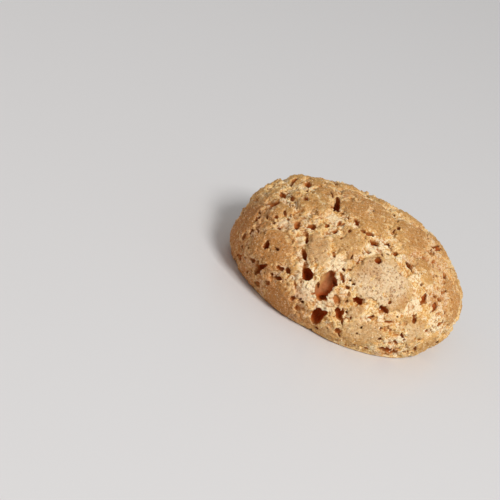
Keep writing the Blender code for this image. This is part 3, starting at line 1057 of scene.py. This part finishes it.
chance = random.Random(SEED)
bubble_shapes = lumpy_balls("bubble", BALLS, BALL_LEVELS, 0.0, BALL_SQUEEZE, BALL_LUMPS)

# %% [markdown]
# ## Cutting the small bubbles
# The smooth dome from before, without relief, carries the points. Its openness says how likely a bubble
# is: high in the crumb, low on whole skin, none near the foot. Each size is cut in a pass of its own,
# since bubbles of one pass never touch, which is what the quick Boolean needs.

# %% Small bubbles
# spacing, density per square metre, smallest and largest radius, power, and sink against the radius
BUBBLE_PASSES = {
    "middle": (2.10 * MM, 1.2e6, 0.40 * MM, 0.95 * MM, 2.0, -0.1),
    "small": (1.25 * MM, 2.2e6, 0.24 * MM, 0.48 * MM, 1.6, -0.1),
    "fine": (0.95 * MM, 3.0e6, 0.14 * MM, 0.26 * MM, 1.4, -0.2),
}
# how open the whole skin is to each size
OPEN_SKIN = {"middle": 0.04, "small": 0.07, "fine": 0.14}
# none of them lies nearer to a placed mouth than half of this, and fewer up to the whole of it
MOUTH_CLEARANCE = {"middle": 2.6 * MM, "small": 1.3 * MM, "fine": 0.8 * MM}
CLEARANCE_START = 0.5
# none lie below the first height, and fewer up to the second one
FOOT_CLEARANCE = (0.4 * MM, 1.2 * MM)
# they crowd in clusters of this scale, and between those a share is still left
CLUSTER_SCALE = 2.6 * MM
CLUSTER_REST = 0.35


def dome_carrier():
    """A copy of the plain dome that carries scattered points."""
    bpy.ops.object.select_all(action="DESELECT")
    bpy.ops.mesh.primitive_ico_sphere_add(subdivisions=SPHERE_LEVELS, radius=1.0)
    carrier = bpy.context.object
    carrier.data.transform(Matrix.Translation((0, 0, WAIST)) @ Matrix.Diagonal((*HALF_SIZES, 1.0)))
    return carrier


def snap_to_gauge(piece):
    """Moves each vertex to the nearest place on the smooth dome with its swells."""
    snapped = [smooth_gauge.find_nearest(vertex.co)[0] for vertex in piece.data.vertices]
    piece.data.vertices.foreach_set("co", np.array(snapped).ravel())
    piece.data.update()


carrier = dome_carrier()
snap_to_gauge(carrier)
carried = places(carrier)
carrier_skin, _ = plate_cover(carried, ALL_PLATES)
clusters = 0.5 + 0.5 * noise_at(carried, CLUSTER_SCALE)
off_foot = smooth_step(*FOOT_CLEARANCE, carried[:, 2])
mouth_gap = np.min([np.linalg.norm(carried - place, axis=1) for place in mouths.values()], axis=0)
for number, (size, values) in enumerate(BUBBLE_PASSES.items()):
    clearance = MOUTH_CLEARANCE[size]
    allowed = 1.0 - (1.0 - OPEN_SKIN[size]) * carrier_skin
    allowed = allowed * smooth_step(CLEARANCE_START * clearance, clearance, mouth_gap)
    mark(carrier, "openness", allowed * off_foot * np.clip(CLUSTER_REST + clusters, 0, 1))
    cutter = scatter(f"{size}_bubbles", carrier, bubble_shapes, SEED + number, values)
    count = len(cutter.data.vertices) // len(bubble_shapes.objects[0].data.vertices)
    cut(crust, shape_collection(f"{size}_cutters", [cutter]))
    print(count, size, "bubbles, crust now", len(crust.data.polygons), "faces")
drop_collection(bubble_shapes)
bpy.data.objects.remove(carrier)

# %% [markdown]
# ## One even surface
# After the cuts the crust has long thin faces. A voxel Remesh rebuilds it as small squares of one size,
# on which a last fine grain can be pushed: strong in the crumb and in the bubbles, faint on the skin.
# Decimate then takes faces away where the surface is flat, down to what one piece may have.

# %% One even surface
VOXEL = 0.100 * MM
FINE_CHUNKS = (0.62 * MM, 0.32 * MM)
GRAIN_NOISE = (0.45 * MM, 0.26 * MM)
SKIN_GRAIN = (0.46 * MM, 0.30 * MM)
WALL_DEPTHS = (0.3 * MM, 0.8 * MM)
WALL_SMOOTHNESS = 0.55
# below this depth nothing counts as whole skin, and the grain grows between these heights
WHOLE_DEPTH = 0.25 * MM
GRAIN_HEIGHTS = (0.25 * MM, 0.6 * MM)
MOST_TRIANGLES = 194000


def depth_below(points):
    """How far each point lies below the crust's surface before it was foamed and cut, in metres."""
    depth = np.empty(len(points))
    for index, point in enumerate(points):
        near, normal, _, _ = relief_gauge.find_nearest(point)
        depth[index] = (near - Vector(point)).dot(normal)
    return depth


def keep_main_body(piece):
    """Deletes scraps: all that isn't joined to the face at the middle of the foot."""
    select_only(piece)
    middle = min(piece.data.polygons, key=lambda face: face.center.length).index
    bpy.ops.object.mode_set(mode="EDIT")
    bpy.ops.mesh.select_mode(type="FACE")
    bpy.ops.mesh.select_all(action="DESELECT")
    bpy.ops.object.mode_set(mode="OBJECT")
    piece.data.polygons[middle].select = True
    bpy.ops.object.mode_set(mode="EDIT")
    bpy.ops.mesh.select_linked()
    bpy.ops.mesh.select_all(action="INVERT")
    bpy.ops.mesh.delete(type="FACE")
    bpy.ops.object.mode_set(mode="OBJECT")


even = crust.modifiers.new("even", "REMESH")
even.mode = "VOXEL"
even.voxel_size = VOXEL
apply_modifier(crust, even)
keep_main_body(crust)
print("remeshed to", len(crust.data.polygons), "faces")
surface = places(crust)
surface_skin, _ = plate_cover(surface, ALL_PLATES)
surface_depth = depth_below(surface)
whole = surface_skin * (1.0 - smooth_step(0.0, WHOLE_DEPTH, surface_depth))
above_foot = smooth_step(*GRAIN_HEIGHTS, surface[:, 2])
bubble_wall = smooth_step(*WALL_DEPTHS, surface_depth)
broken = (1.0 - whole) * above_foot * (1.0 - WALL_SMOOTHNESS * bubble_wall)
push(crust, FINE_CHUNKS[1], weights=broken, texture=chunks("fine_chunks", FINE_CHUNKS[0]))
push(crust, GRAIN_NOISE[1], weights=broken, texture=clouds("grain", GRAIN_NOISE[0]))
push(crust, SKIN_GRAIN[1], weights=whole * above_foot, texture=clouds("skin_grain", SKIN_GRAIN[0]))
thin = crust.modifiers.new("thin", "DECIMATE")
thin.ratio = MOST_TRIANGLES / (2 * len(crust.data.polygons))
thin.use_collapse_triangulate = True
apply_modifier(crust, thin)
print("thinned to", len(crust.data.polygons), "triangles")

# %% [markdown]
# ## What the finish needs to know
# The finish follows the baking: whole skin is golden, fresh crumb is pale, and a bubble gets browner with
# depth, which is also painted shade deep in the bubbles. So each vertex keeps a few numbers that the
# material reads as attributes: its share of whole skin, its depth under the crust, how hollow or how sharp
# the surface is there, by which highlight and shade are painted, how pale and how toasted the skin is, with
# painted shade in the toast on the left side, how fresh the crumb is, and where a wide floor is tan. The
# foot lay on the sheet, so it counts as one even crust.

# %% Numbers for the finish
PALE_PLATES = {
    "pale": 1.0,
    "below_pale": 0.45,
    "low_right": 0.50,
    "low_front": 0.35,
    "low_mid": 0.30,
    "centre": 0.46,
    "upper": 0.15,
}
# spots of pale fresh crumb: pixel across and down, and reach in mm
PALE_SPOTS = {
    "great_top": (339, 262, 1.5),
    "great_top_left": (331, 266, 1.0),
    "left_edge": (299, 238, 0.9),
    "left_edge_mid": (301, 251, 0.7),
    "great_left": (299, 266, 1.2),
    "great_low_left": (308, 291, 1.9),
    "great_low": (327, 305, 1.6),
    "great_right": (337.5, 280, 0.7),
    "great_right_low": (331, 294, 0.7),
    "notch_front": (334, 217, 1.3),
    "ridge_front": (284, 224, 1.4),
    "ridge_front_low": (294, 231, 0.8),
    "middle_top": (302, 243, 0.8),
    "upper_right": (373, 249, 1.2),
    "back_right": (386, 257, 0.8),
    "right_mid": (430, 283, 1.0),
    "right_low": (416, 304, 1.5),
    "left_low": (280, 273, 0.6),
    "low_mid": (362, 322, 0.8),
    "low_front": (348, 332, 0.8),
    "low_shelf": (399, 341, 0.8),
    "top": (303, 187, 1.0),
}
# where the skin browned more: pixel across and down, reach in mm, and share; on the left side the
# browning is also painted shade
TOASTED_AND_SHADED_SPOTS = {
    # the five spots on the left side are browning and also painted shade there
    "left_side": (238, 232, 8.5, 1.0),
    "left": (270, 252, 5.0, 0.7),
    "left_heel": (246, 268, 5.0, 1.0),
    "left_foot": (264, 288, 5.5, 0.9),
    "low_left": (290, 308, 4.5, 0.8),
    "ridge": (306, 208, 4.5, 0.2),
    "crown": (358, 202, 7.0, 0.52),
    "right": (430, 250, 7.0, 0.52),
    "right_low": (453, 300, 5.0, 0.55),
    "back_crumb": (356, 257, 1.6, 0.5),
    "right_crumb": (411, 260, 1.8, 0.6),
    "right_low_crumb": (404, 302, 1.0, 0.5),
    "right_edge": (437, 300, 2.0, 0.6),
    "right_edge_high": (443, 275, 1.6, 0.5),
    "trough": (340, 301, 1.6, 0.6),
    "low_crumb": (390, 322, 1.2, 0.5),
    "foot_groove": (388, 351, 2.0, 0.5),
    "middle_crumb": (299, 223, 1.6, 0.5),
}
# the same on the far side: azimuth, rise, reach in mm, and share
TOASTED_BACK = (110, 10, 11.0, 0.6)
# the flat foot is one even crust, a little browner than the skin, and ends between these heights
FOOT_CRUST = (0.12 * MM, 0.30 * MM)
FOOT_TOAST = 0.40
# the skin ends between these depths, and below the deepest one a pit gets no browner and its painted
# shade no darker
UNBROKEN_DEPTHS = (0.06 * MM, 0.22 * MM)
DEEPEST = 2.0 * MM
# the number kept for a level surface, and how strongly crests and pits differ from it; the material paints
# highlight on the crests and shade in the dips and pits by this number
HOLLOW_MIDDLE = 0.5
HOLLOW_GAIN = 1.2
LEAST_SPAN = 1e-9
# the great hole's wide floor is coloured a paler tan
TAN_FLOOR = (320, 280, 2.6)
# each effect fades between two shares of its spot's reach, and noise makes its edge ragged
PALE_FADE = (0.65, 1.35)
TOAST_FADE = (0.5, 1.3)
FRESH_FADE = (0.7, 1.3)
TAN_FADE = (0.3, 1.2)
RAGGED_SCALES = (2.2 * MM, 0.8 * MM)
RAGGED_SIZE = 0.7 * MM


def faded(away, reach, shares):
    """One near a spot and zero far from it, with the fade between two shares of its reach."""
    low, high = shares
    return 1.0 - smooth_step(low * reach * MM, high * reach * MM, away)


def hollowness(piece):
    """Below zero on crests and rims, above zero in pits: how far a vertex's neighbours stand out past it."""
    points = places(piece)
    edges = np.empty(len(piece.data.edges) * 2, np.int32)
    piece.data.edges.foreach_get("vertices", edges)
    edges = edges.reshape(-1, 2)
    normals = np.empty(len(points) * 3, np.float32)
    piece.data.vertices.foreach_get("normal", normals)
    normals = normals.reshape(-1, 3)
    total, span = np.zeros_like(points), np.zeros(len(points))
    for here, there in ((0, 1), (1, 0)):
        step = points[edges[:, there]] - points[edges[:, here]]
        np.add.at(total, edges[:, here], step)
        np.add.at(span, edges[:, here], np.linalg.norm(step, axis=1))
    return (total * normals).sum(axis=1) / np.maximum(span, LEAST_SPAN)


surface = places(crust)
surface_skin, _ = plate_cover(surface, ALL_PLATES)
surface_depth = depth_below(surface)
baked_foot = 1.0 - smooth_step(*FOOT_CRUST, surface[:, 2])
unbroken = surface_skin * (1.0 - smooth_step(*UNBROKEN_DEPTHS, surface_depth))
mark(crust, "skin", np.maximum(unbroken, baked_foot))
mark(crust, "depth", np.clip(surface_depth / DEEPEST, 0.0, 1.0))
mark(crust, "hollow", np.clip(HOLLOW_MIDDLE + HOLLOW_GAIN * hollowness(crust), 0.0, 1.0))
ragged = RAGGED_SIZE * sum(noise_at(surface, scale) for scale in RAGGED_SCALES)
paleness = np.zeros(len(surface))
for name, share in PALE_PLATES.items():
    reach = plate_reach(surface, SHOWN_PLATES[name]) + ragged / (PLATES[name][2] * MM)
    paleness = np.maximum(paleness, share * (1.0 - smooth_step(*PALE_FADE, reach)))
mark(crust, "pale", paleness)
toasted = [(seen_spot(*pixel)[0], reach, share) for *pixel, reach, share in TOASTED_AND_SHADED_SPOTS.values()]
toasted.append((spot(*TOASTED_BACK[:2])[0], *TOASTED_BACK[2:]))
toast = FOOT_TOAST * baked_foot
for place, reach, share in toasted:
    away = np.linalg.norm(surface - place, axis=1) + ragged
    toast = np.maximum(toast, share * faded(away, reach, TOAST_FADE))
mark(crust, "toast", toast)
freshness = np.zeros(len(surface))
for across, down, reach in PALE_SPOTS.values():
    away = np.linalg.norm(surface - seen_spot(across, down)[0], axis=1) + ragged
    freshness = np.maximum(freshness, faded(away, reach, FRESH_FADE))
mark(crust, "fresh", freshness)
floor_away = np.linalg.norm(surface - seen_spot(*TAN_FLOOR[:2])[0], axis=1)
mark(crust, "tan", faded(floor_away, TAN_FLOOR[2], TAN_FADE))
print("depth in mm up to", round(surface_depth.max() / MM, 2))
print("skin share", round(float(surface_skin.mean()), 2))

# %% [markdown]
# ## Patches, specks and pinholes
# Toasting adds darker patches and fine specks to a colour, dark ones and light sugar ones that also serve
# as painted glints. Skin, crumb and grit all want it, so it is a node group that is built once. Pinholes is
# a second group, a mask of tiny burst bubbles that are too small to model: dots round scattered points, at
# a chance size, and none at all in many of the cells. The crust paints them brown, partly as painted shade.

# %% Shared node groups
# each noise has a scale per metre, a detail and a roughness, and grows from none to full in its span
PATCH_NOISE = (260.0, 5.0, 0.72)
PATCH_SPAN = (0.42, 0.66)
SPECK_NOISE = (2600.0, 2.0, 0.6)
SPECK_SPAN = (0.54, 0.68)
SUGAR_NOISE = (4200.0, 3.0, 0.65)
SUGAR_SPAN = (0.56, 0.66)
# the light sugar specks, pale enough to serve also as painted glints
SUGAR_AND_GLINT_COLOUR = (0.93, 0.74, 0.47)
PINHOLE_SCALES = (1450.0, 2600.0)
# which of the cells have a pinhole, how wide it is at most, and where its soft edge starts and ends
PINHOLE_CHANCE = (0.2, 1.0)
PINHOLE_REACH = 0.36
PINHOLE_EDGE = (0.04, -0.08)


def noise_node(tree, scale, detail, roughness, vector):
    """Soft noise from 0 to 1."""
    inputs = {"Scale": scale, "Detail": detail, "Roughness": roughness, "Vector": vector}
    return add_node(tree, "ShaderNodeTexNoise", inputs).outputs["Fac"]


def ramp(tree, value, low, high, to_low=0.0, to_high=1.0):
    """Maps a value smoothly from one span to another."""
    inputs = {"Value": value, "From Min": low, "From Max": high, "To Min": to_low, "To Max": to_high}
    made = add_node(tree, "ShaderNodeMapRange", inputs, interpolation_type="SMOOTHSTEP")
    return made.outputs["Result"]


def paint(colour):
    """A colour as a socket takes it: a socket stays, and a plain colour is made opaque."""
    return colour if isinstance(colour, bpy.types.NodeSocket) else (*colour, 1.0)


def mix(tree, share, first, second):
    """Mixes two colours; each is a socket or a plain colour."""
    inputs = {0: share, 6: paint(first), 7: paint(second)}
    return add_node(tree, "ShaderNodeMix", inputs, data_type="RGBA").outputs[2]


def laid_on(tree, colour, layer, mask, share):
    """A colour with a layer of another one on it, as strong as the mask times the share."""
    return mix(tree, sums(tree, "MULTIPLY", mask, share), colour, layer)


def toasting_group():
    """Colour in, the same colour with toasted patches, dark specks and sugar specks that are partly painted
    glints out.
    """
    tree = bpy.data.node_groups.new("toasting", "ShaderNodeTree")
    add_sockets(tree, "INPUT", Colour="Color", Toast="Color", Patches="Float", Specks="Float")
    add_sockets(tree, "OUTPUT", Colour="Color")
    given = tree.nodes.new("NodeGroupInput").outputs
    out = tree.nodes.new("NodeGroupOutput")
    where = tree.nodes.new("ShaderNodeTexCoord").outputs["Object"]
    patches = ramp(tree, noise_node(tree, *PATCH_NOISE, where), *PATCH_SPAN)
    toasted = laid_on(tree, given["Colour"], given["Toast"], patches, given["Patches"])
    dark = ramp(tree, noise_node(tree, *SPECK_NOISE, where), *SPECK_SPAN)
    dotted = laid_on(tree, toasted, given["Toast"], dark, given["Specks"])
    # light sugar specks that also serve as painted glints
    bright = ramp(tree, noise_node(tree, *SUGAR_NOISE, where), *SUGAR_SPAN)
    sugared_and_glinting = laid_on(tree, dotted, SUGAR_AND_GLINT_COLOUR, bright, given["Specks"])
    feed(tree, out.inputs["Colour"], sugared_and_glinting)
    return tree


def pinholes_group():
    """A mask of tiny round holes, more and larger ones as Amount grows."""
    tree = bpy.data.node_groups.new("pinholes", "ShaderNodeTree")
    add_sockets(tree, "INPUT", Amount="Float")
    add_sockets(tree, "OUTPUT", Mask="Float")
    given = tree.nodes.new("NodeGroupInput").outputs
    out = tree.nodes.new("NodeGroupOutput")
    where = tree.nodes.new("ShaderNodeTexCoord").outputs["Object"]
    masks = []
    for scale in PINHOLE_SCALES:
        points = add_node(tree, "ShaderNodeTexVoronoi", {"Scale": scale, "Vector": where})
        apart = add_node(tree, "ShaderNodeSeparateColor", {"Color": points.outputs["Color"]})
        radius = sums(tree, "MULTIPLY", ramp(tree, apart.outputs["Red"], *PINHOLE_CHANCE), given["Amount"])
        reach = sums(tree, "MULTIPLY", radius, PINHOLE_REACH)
        beyond = sums(tree, "SUBTRACT", points.outputs["Distance"], reach)
        masks.append(ramp(tree, beyond, *PINHOLE_EDGE))
    feed(tree, out.inputs["Mask"], sums(tree, "MAXIMUM", *masks))
    return tree


TOASTING = toasting_group()
PINHOLES = pinholes_group()
print("groups", [tree.name for tree in bpy.data.node_groups])

# %% [markdown]
# ## The baked crust
# One material covers skin, crumb and bubbles, because they are one dough. Colour comes in layers: golden
# skin with toasted patches, dark specks and sugar specks that are partly painted glints, and a browner left
# side that is partly painted shade, gold and ivory crumb, orange brown in the shallow pits and red brown
# further down, partly baked colour and partly painted shade, painted highlight on the crests and painted
# shade in the dips and pits, pale rims round the plates that are partly painted highlight, and brown
# pinholes that are partly painted shade. The finest grain is bump.

# %% The baked crust
# the ivory and pale skin colours also paint highlight on crests, the toast colours paint shade in dips, the
# pit brown paints shade in pits, and the deep browns are partly painted shade deep in the bubbles
SKIN_COLOUR = (0.69, 0.382, 0.120)
SKIN_TOAST_AND_SHADE = (0.47, 0.205, 0.050)
BROWNED_AND_SHADED_SKIN = (0.46, 0.150, 0.034)
PALE_SKIN = (0.84, 0.635, 0.395)
IVORY = (0.95, 0.815, 0.570)
CRUMB_PALE = (0.90, 0.660, 0.325)
CRUMB_GOLD = (0.77, 0.430, 0.110)
CRUMB_TOAST_AND_SHADE = (0.62, 0.285, 0.055)
PIT_BROWN = (0.47, 0.190, 0.055)
DEEP_BROWN = (0.43, 0.115, 0.018)
DEEPEST_BROWN = (0.36, 0.052, 0.004)
FLOOR_BROWN = (0.42, 0.150, 0.055)
FLOOR_TAN = (0.63, 0.340, 0.122)
# spans of the hollow number that count as crests, dips and pits: painted highlight goes on the crests,
# painted shade in the dips and pits
RIDGE_HIGHLIGHT_SPAN = (0.49, 0.39)
VALLEY_SHADE_SPAN = (0.51, 0.63)
PIT_SHADE_SPAN = (0.56, 0.78)
# spans of the depth, against the deepest, in which the crumb turns to each brown: the bubbles' baked
# brown, darkened further as painted shade
SHALLOW_SPAN = (0.04, 0.20)
DEEP_SPAN = (0.14, 0.32)
DEEPEST_SPAN = (0.26, 0.60)
LUMP_SCALE = 1000.0
LUMP_BEND = 0.9 * MM
LUMP_BEND_SCALE = 1.3 * LUMP_SCALE
LUMP_BEND_DETAIL = 2.0
TOASTED_LUMPS = (0.42, 0.30)
IVORY_LUMPS = (0.58, 0.72)
# noises and spans as in the shared groups; where a span has four numbers, the last two are its results
GOLD_NOISE = (420.0, 4.0, 0.7)
GOLD_SPAN = (0.36, 0.58)
TAN_NOISE = (900.0, 4.0, 0.6)
TAN_NOISE_SPAN = (0.36, 0.56, 0.45, 1.0)
TAN_START = (0.02, 0.25)
TAN_MIDDLE = (0.45, 0.85)
# the shares of skin between which the pale rim of a plate, pale crumb and partly painted highlight, grows,
# and fades again
PALE_RIM_AND_HIGHLIGHT_START = (0.10, 0.40)
PALE_RIM_AND_HIGHLIGHT_END = (0.95, 0.60)
LEAST_PINHOLES = 0.50
BUMP_NOISE = (2200.0, 3.0, 0.7)
BUMP_SPAN = (0.2, 0.8, 0.4, 1.0)
BUMP_HEIGHT = 0.32 * MM
PINHOLE_BUMP = 0.8
# how strong each layer of colour is at most; the crest layers are painted highlight, the dip and pit
# layers painted shade, the rim layer partly painted highlight, the pinhole layer partly painted shade, and
# the toast and browning layers partly painted shade on the left side
SKIN_LAYERS = {"ridge_highlights": 0.12, "valley_shade": 0.30}
CRUMB_LAYERS = {"patches": 0.9, "toasted": 0.65, "ivory": 0.80, "ridge_highlights": 0.30, "valley_shade": 0.55}
FRESH_LAYER = 0.75
BROWNED_AND_SHADED_LAYER = 0.70
CRUST_LAYERS = {"toast": 0.85, "pits": 0.3, "rim": 0.5, "pinholes": 0.45}
# how strong the shared group's patches and specks are
SKIN_PATCHES = (0.60, 0.62)
CRUMB_PATCHES = (0.2, 0.45)
CRUST_SHINE = {
    "Roughness": 0.58,
    "Specular IOR Level": 0.10,
    "Subsurface Weight": 0.08,
    "Subsurface Radius": (1.0, 0.5, 0.25),
    "Subsurface Scale": 0.6 * MM,
}


def attribute(tree, name):
    """One of the numbers kept on the mesh."""
    return add_node(tree, "ShaderNodeAttribute", {}, attribute_name=name).outputs["Fac"]


def toasting(tree, colour, toast, patches, specks):
    """The colour toasted by the shared group."""
    inputs = {"Colour": colour, "Toast": paint(toast), "Patches": patches, "Specks": specks}
    return add_node(tree, "ShaderNodeGroup", inputs, node_tree=TOASTING).outputs["Colour"]


def crumb_lumps(tree, where):
    """Chance values for each lump of crumb, in cells whose borders noise has bent."""
    noisy = {"Scale": LUMP_BEND_SCALE, "Detail": LUMP_BEND_DETAIL, "Vector": where}
    bend = add_node(tree, "ShaderNodeTexNoise", noisy)
    moved = {0: bend.outputs["Color"], 1: (LUMP_BEND, LUMP_BEND, LUMP_BEND), 2: where}
    bent = add_node(tree, "ShaderNodeVectorMath", moved, operation="MULTIPLY_ADD")
    lumps = add_node(tree, "ShaderNodeTexVoronoi", {"Scale": LUMP_SCALE, "Vector": bent.outputs[0]})
    return add_node(tree, "ShaderNodeSeparateColor", {"Color": lumps.outputs["Color"]}).outputs


def skin_colour(tree, pale, toast, ridge_highlights, valley_shade):
    """Golden skin, paler or browner as it was baked, browner on the left side partly as painted shade, with
    painted highlight on crests and painted shade in dips.
    """
    # browned skin, which on the left side is also painted shade
    golden = mix(tree, toast, mix(tree, pale, SKIN_COLOUR, PALE_SKIN), BROWNED_AND_SHADED_SKIN)
    # painted highlight on the crests and painted shade in the dips of the skin
    golden = laid_on(tree, golden, PALE_SKIN, ridge_highlights, SKIN_LAYERS["ridge_highlights"])
    golden = laid_on(tree, golden, SKIN_TOAST_AND_SHADE, valley_shade, SKIN_LAYERS["valley_shade"])
    return toasting(tree, golden, SKIN_TOAST_AND_SHADE, *SKIN_PATCHES)


def crumb_colour(tree, where, fresh, toast, ridge_highlights, valley_shade):
    """Gold crumb with paler patches and single lumps in ivory or toasted, painted highlight on crests,
    painted shade in dips, and browning that is partly painted shade on the left side.
    """
    lumps = crumb_lumps(tree, where)
    patches = ramp(tree, noise_node(tree, *GOLD_NOISE, where), *GOLD_SPAN)
    toasted = ramp(tree, lumps["Green"], *TOASTED_LUMPS)
    ivory = ramp(tree, lumps["Red"], *IVORY_LUMPS)
    crumb = laid_on(tree, CRUMB_GOLD, CRUMB_PALE, patches, CRUMB_LAYERS["patches"])
    crumb = laid_on(tree, crumb, CRUMB_TOAST_AND_SHADE, toasted, CRUMB_LAYERS["toasted"])
    crumb = laid_on(tree, crumb, IVORY, ivory, CRUMB_LAYERS["ivory"])
    # painted highlight on the crests and painted shade in the dips of the crumb
    crumb = laid_on(tree, crumb, IVORY, ridge_highlights, CRUMB_LAYERS["ridge_highlights"])
    crumb = laid_on(tree, crumb, CRUMB_TOAST_AND_SHADE, valley_shade, CRUMB_LAYERS["valley_shade"])
    crumb = laid_on(tree, crumb, IVORY, fresh, FRESH_LAYER)
    crumb = toasting(tree, crumb, CRUMB_GOLD, *CRUMB_PATCHES)
    # the browning over the crumb, which on the left side is also painted shade
    return laid_on(tree, crumb, BROWNED_AND_SHADED_SKIN, toast, BROWNED_AND_SHADED_LAYER)


def pit_colour_and_shade(tree, where, depth):
    """Red brown that deepens with depth, partly the bubble's baked brown and partly painted shade, and a
    lumpy tan on the great hole's floor.
    """
    brown = mix(tree, ramp(tree, depth, *DEEPEST_SPAN), DEEP_BROWN, DEEPEST_BROWN)
    tan = attribute(tree, "tan")
    lumpy = ramp(tree, noise_node(tree, *TAN_NOISE, where), *TAN_NOISE_SPAN)
    tan_floor_share = sums(tree, "MULTIPLY", ramp(tree, tan, *TAN_MIDDLE), lumpy)
    return mix(tree, ramp(tree, tan, *TAN_START), brown, mix(tree, tan_floor_share, FLOOR_BROWN, FLOOR_TAN))


def crust_material():
    """The whole crust: skin over crumb over pits, then pale rims, partly painted highlight, pinholes, partly
    painted shade, and a fine bump.
    """
    made, tree, shader = new_material("baked_crust")
    where = tree.nodes.new("ShaderNodeTexCoord").outputs["Object"]
    skin, depth, hollow, pale = (attribute(tree, name) for name in ("skin", "depth", "hollow", "pale"))
    # the toast number is browning, and on the left side also painted shade
    toast = sums(tree, "MULTIPLY", attribute(tree, "toast"), CRUST_LAYERS["toast"])
    # crests get painted highlight and dips painted shade, by the hollow number
    ridge_highlights = ramp(tree, hollow, *RIDGE_HIGHLIGHT_SPAN)
    valley_shade = ramp(tree, hollow, *VALLEY_SHADE_SPAN)
    plate = skin_colour(tree, pale, toast, ridge_highlights, valley_shade)
    crumb = crumb_colour(tree, where, attribute(tree, "fresh"), toast, ridge_highlights, valley_shade)
    # deeper pits turn browner: the bubbles' baked brown, darkened further as painted shade
    shallow = mix(tree, ramp(tree, depth, *SHALLOW_SPAN), crumb, PIT_BROWN)
    inner = mix(tree, ramp(tree, depth, *DEEP_SPAN), shallow, pit_colour_and_shade(tree, where, depth))
    # painted shade in the pits
    inner = laid_on(tree, inner, PIT_BROWN, ramp(tree, hollow, *PIT_SHADE_SPAN), CRUST_LAYERS["pits"])
    colour = mix(tree, skin, inner, plate)
    # a pale rim round each plate: pale crumb, partly painted highlight
    rim = sums(tree, "MULTIPLY", ramp(tree, skin, *PALE_RIM_AND_HIGHLIGHT_START), ramp(tree, skin, *PALE_RIM_AND_HIGHLIGHT_END))
    colour = laid_on(tree, colour, CRUMB_PALE, rim, CRUST_LAYERS["rim"])
    # pinholes too small to model, painted as brown dots that are partly painted shade
    amount = {"Amount": sums(tree, "MAXIMUM", pale, LEAST_PINHOLES)}
    pinholes = add_node(tree, "ShaderNodeGroup", amount, node_tree=PINHOLES).outputs["Mask"]
    colour = laid_on(tree, colour, DEEP_BROWN, pinholes, CRUST_LAYERS["pinholes"])
    grain = noise_node(tree, *BUMP_NOISE, where)
    height = sums(tree, "SUBTRACT", grain, sums(tree, "MULTIPLY", pinholes, PINHOLE_BUMP))
    relief = {"Strength": ramp(tree, skin, *BUMP_SPAN), "Distance": BUMP_HEIGHT, "Height": height}
    bump = add_node(tree, "ShaderNodeBump", relief)
    finish = {"Base Color": colour, "Normal": bump.outputs["Normal"], **CRUST_SHINE}
    for name, value in finish.items():
        feed(tree, shader.inputs[name], value)
    return made


crust.data.materials.clear()
crust.data.materials.append(crust_material())
select_only(crust)
bpy.ops.object.shade_smooth()
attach(crust, "root")
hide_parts("amaretti_cookie")
print("crust finished,", len(crust.data.polygons), "triangles")

# %% [markdown]
# ## Sugar grit
# Coarse sugar and ground almond cling to the skin as tiny sharp-edged grains. They are scattered on the
# finished crust by the same Geometry Nodes tool, half sunk, mostly where the surface stands out.

# %% Sugar grit
GRAIN_SHAPES = 5
GRAIN_LEVELS = 1
GRAIN_START = 40.0
GRAIN_SQUEEZE = (0.6, 1.0)
GRAIN_LUMPS = (0.8, -0.8)
# spacing, density per square metre, smallest and largest radius, power, and sink against the radius
GRIT = (0.34 * MM, 2.2e6, 0.045 * MM, 0.19 * MM, 2.4, -0.25)
GRIT_SEED = 4
# grains thin out between these depths, and between these heights above the foot
GRIT_DEPTHS = (0.15 * MM, 0.45 * MM)
GRIT_HEIGHTS = (0.5 * MM, 1.5 * MM)
GRIT_COLOUR = (0.93, 0.76, 0.52)
GRIT_TOAST = (0.66, 0.40, 0.18)
GRIT_LAYER = 0.5
GRIT_PATCHES = (0.7, 0.2)
GRIT_ROUGHNESS = 0.38

grain_shapes = lumpy_balls("grain", GRAIN_SHAPES, GRAIN_LEVELS, GRAIN_START, GRAIN_SQUEEZE, GRAIN_LUMPS)
open_air = 1.0 - smooth_step(*GRIT_DEPTHS, surface_depth)
mark(crust, "openness", open_air * smooth_step(*GRIT_HEIGHTS, surface[:, 2]))
grit = scatter("sugar_grit", crust, grain_shapes, GRIT_SEED, GRIT)
for piece in (crust, grit):
    piece.data.attributes.remove(piece.data.attributes["openness"])
drop_collection(grain_shapes)


def grit_material():
    """Sugar and almond, browner where the skin is toasted and where painted shade darkens the left side."""
    made, tree, shader = new_material("sugar_grain")
    baked = laid_on(tree, GRIT_COLOUR, GRIT_TOAST, attribute(tree, "toast"), GRIT_LAYER)
    feed(tree, shader.inputs["Base Color"], toasting(tree, baked, GRIT_TOAST, *GRIT_PATCHES))
    feed(tree, shader.inputs["Roughness"], GRIT_ROUGHNESS)
    return made


grit.data.materials.clear()
grit.data.materials.append(grit_material())
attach(grit, "root")
print("grit", len(grit.data.polygons), "faces, keeps", sorted(grit.data.attributes.keys()))
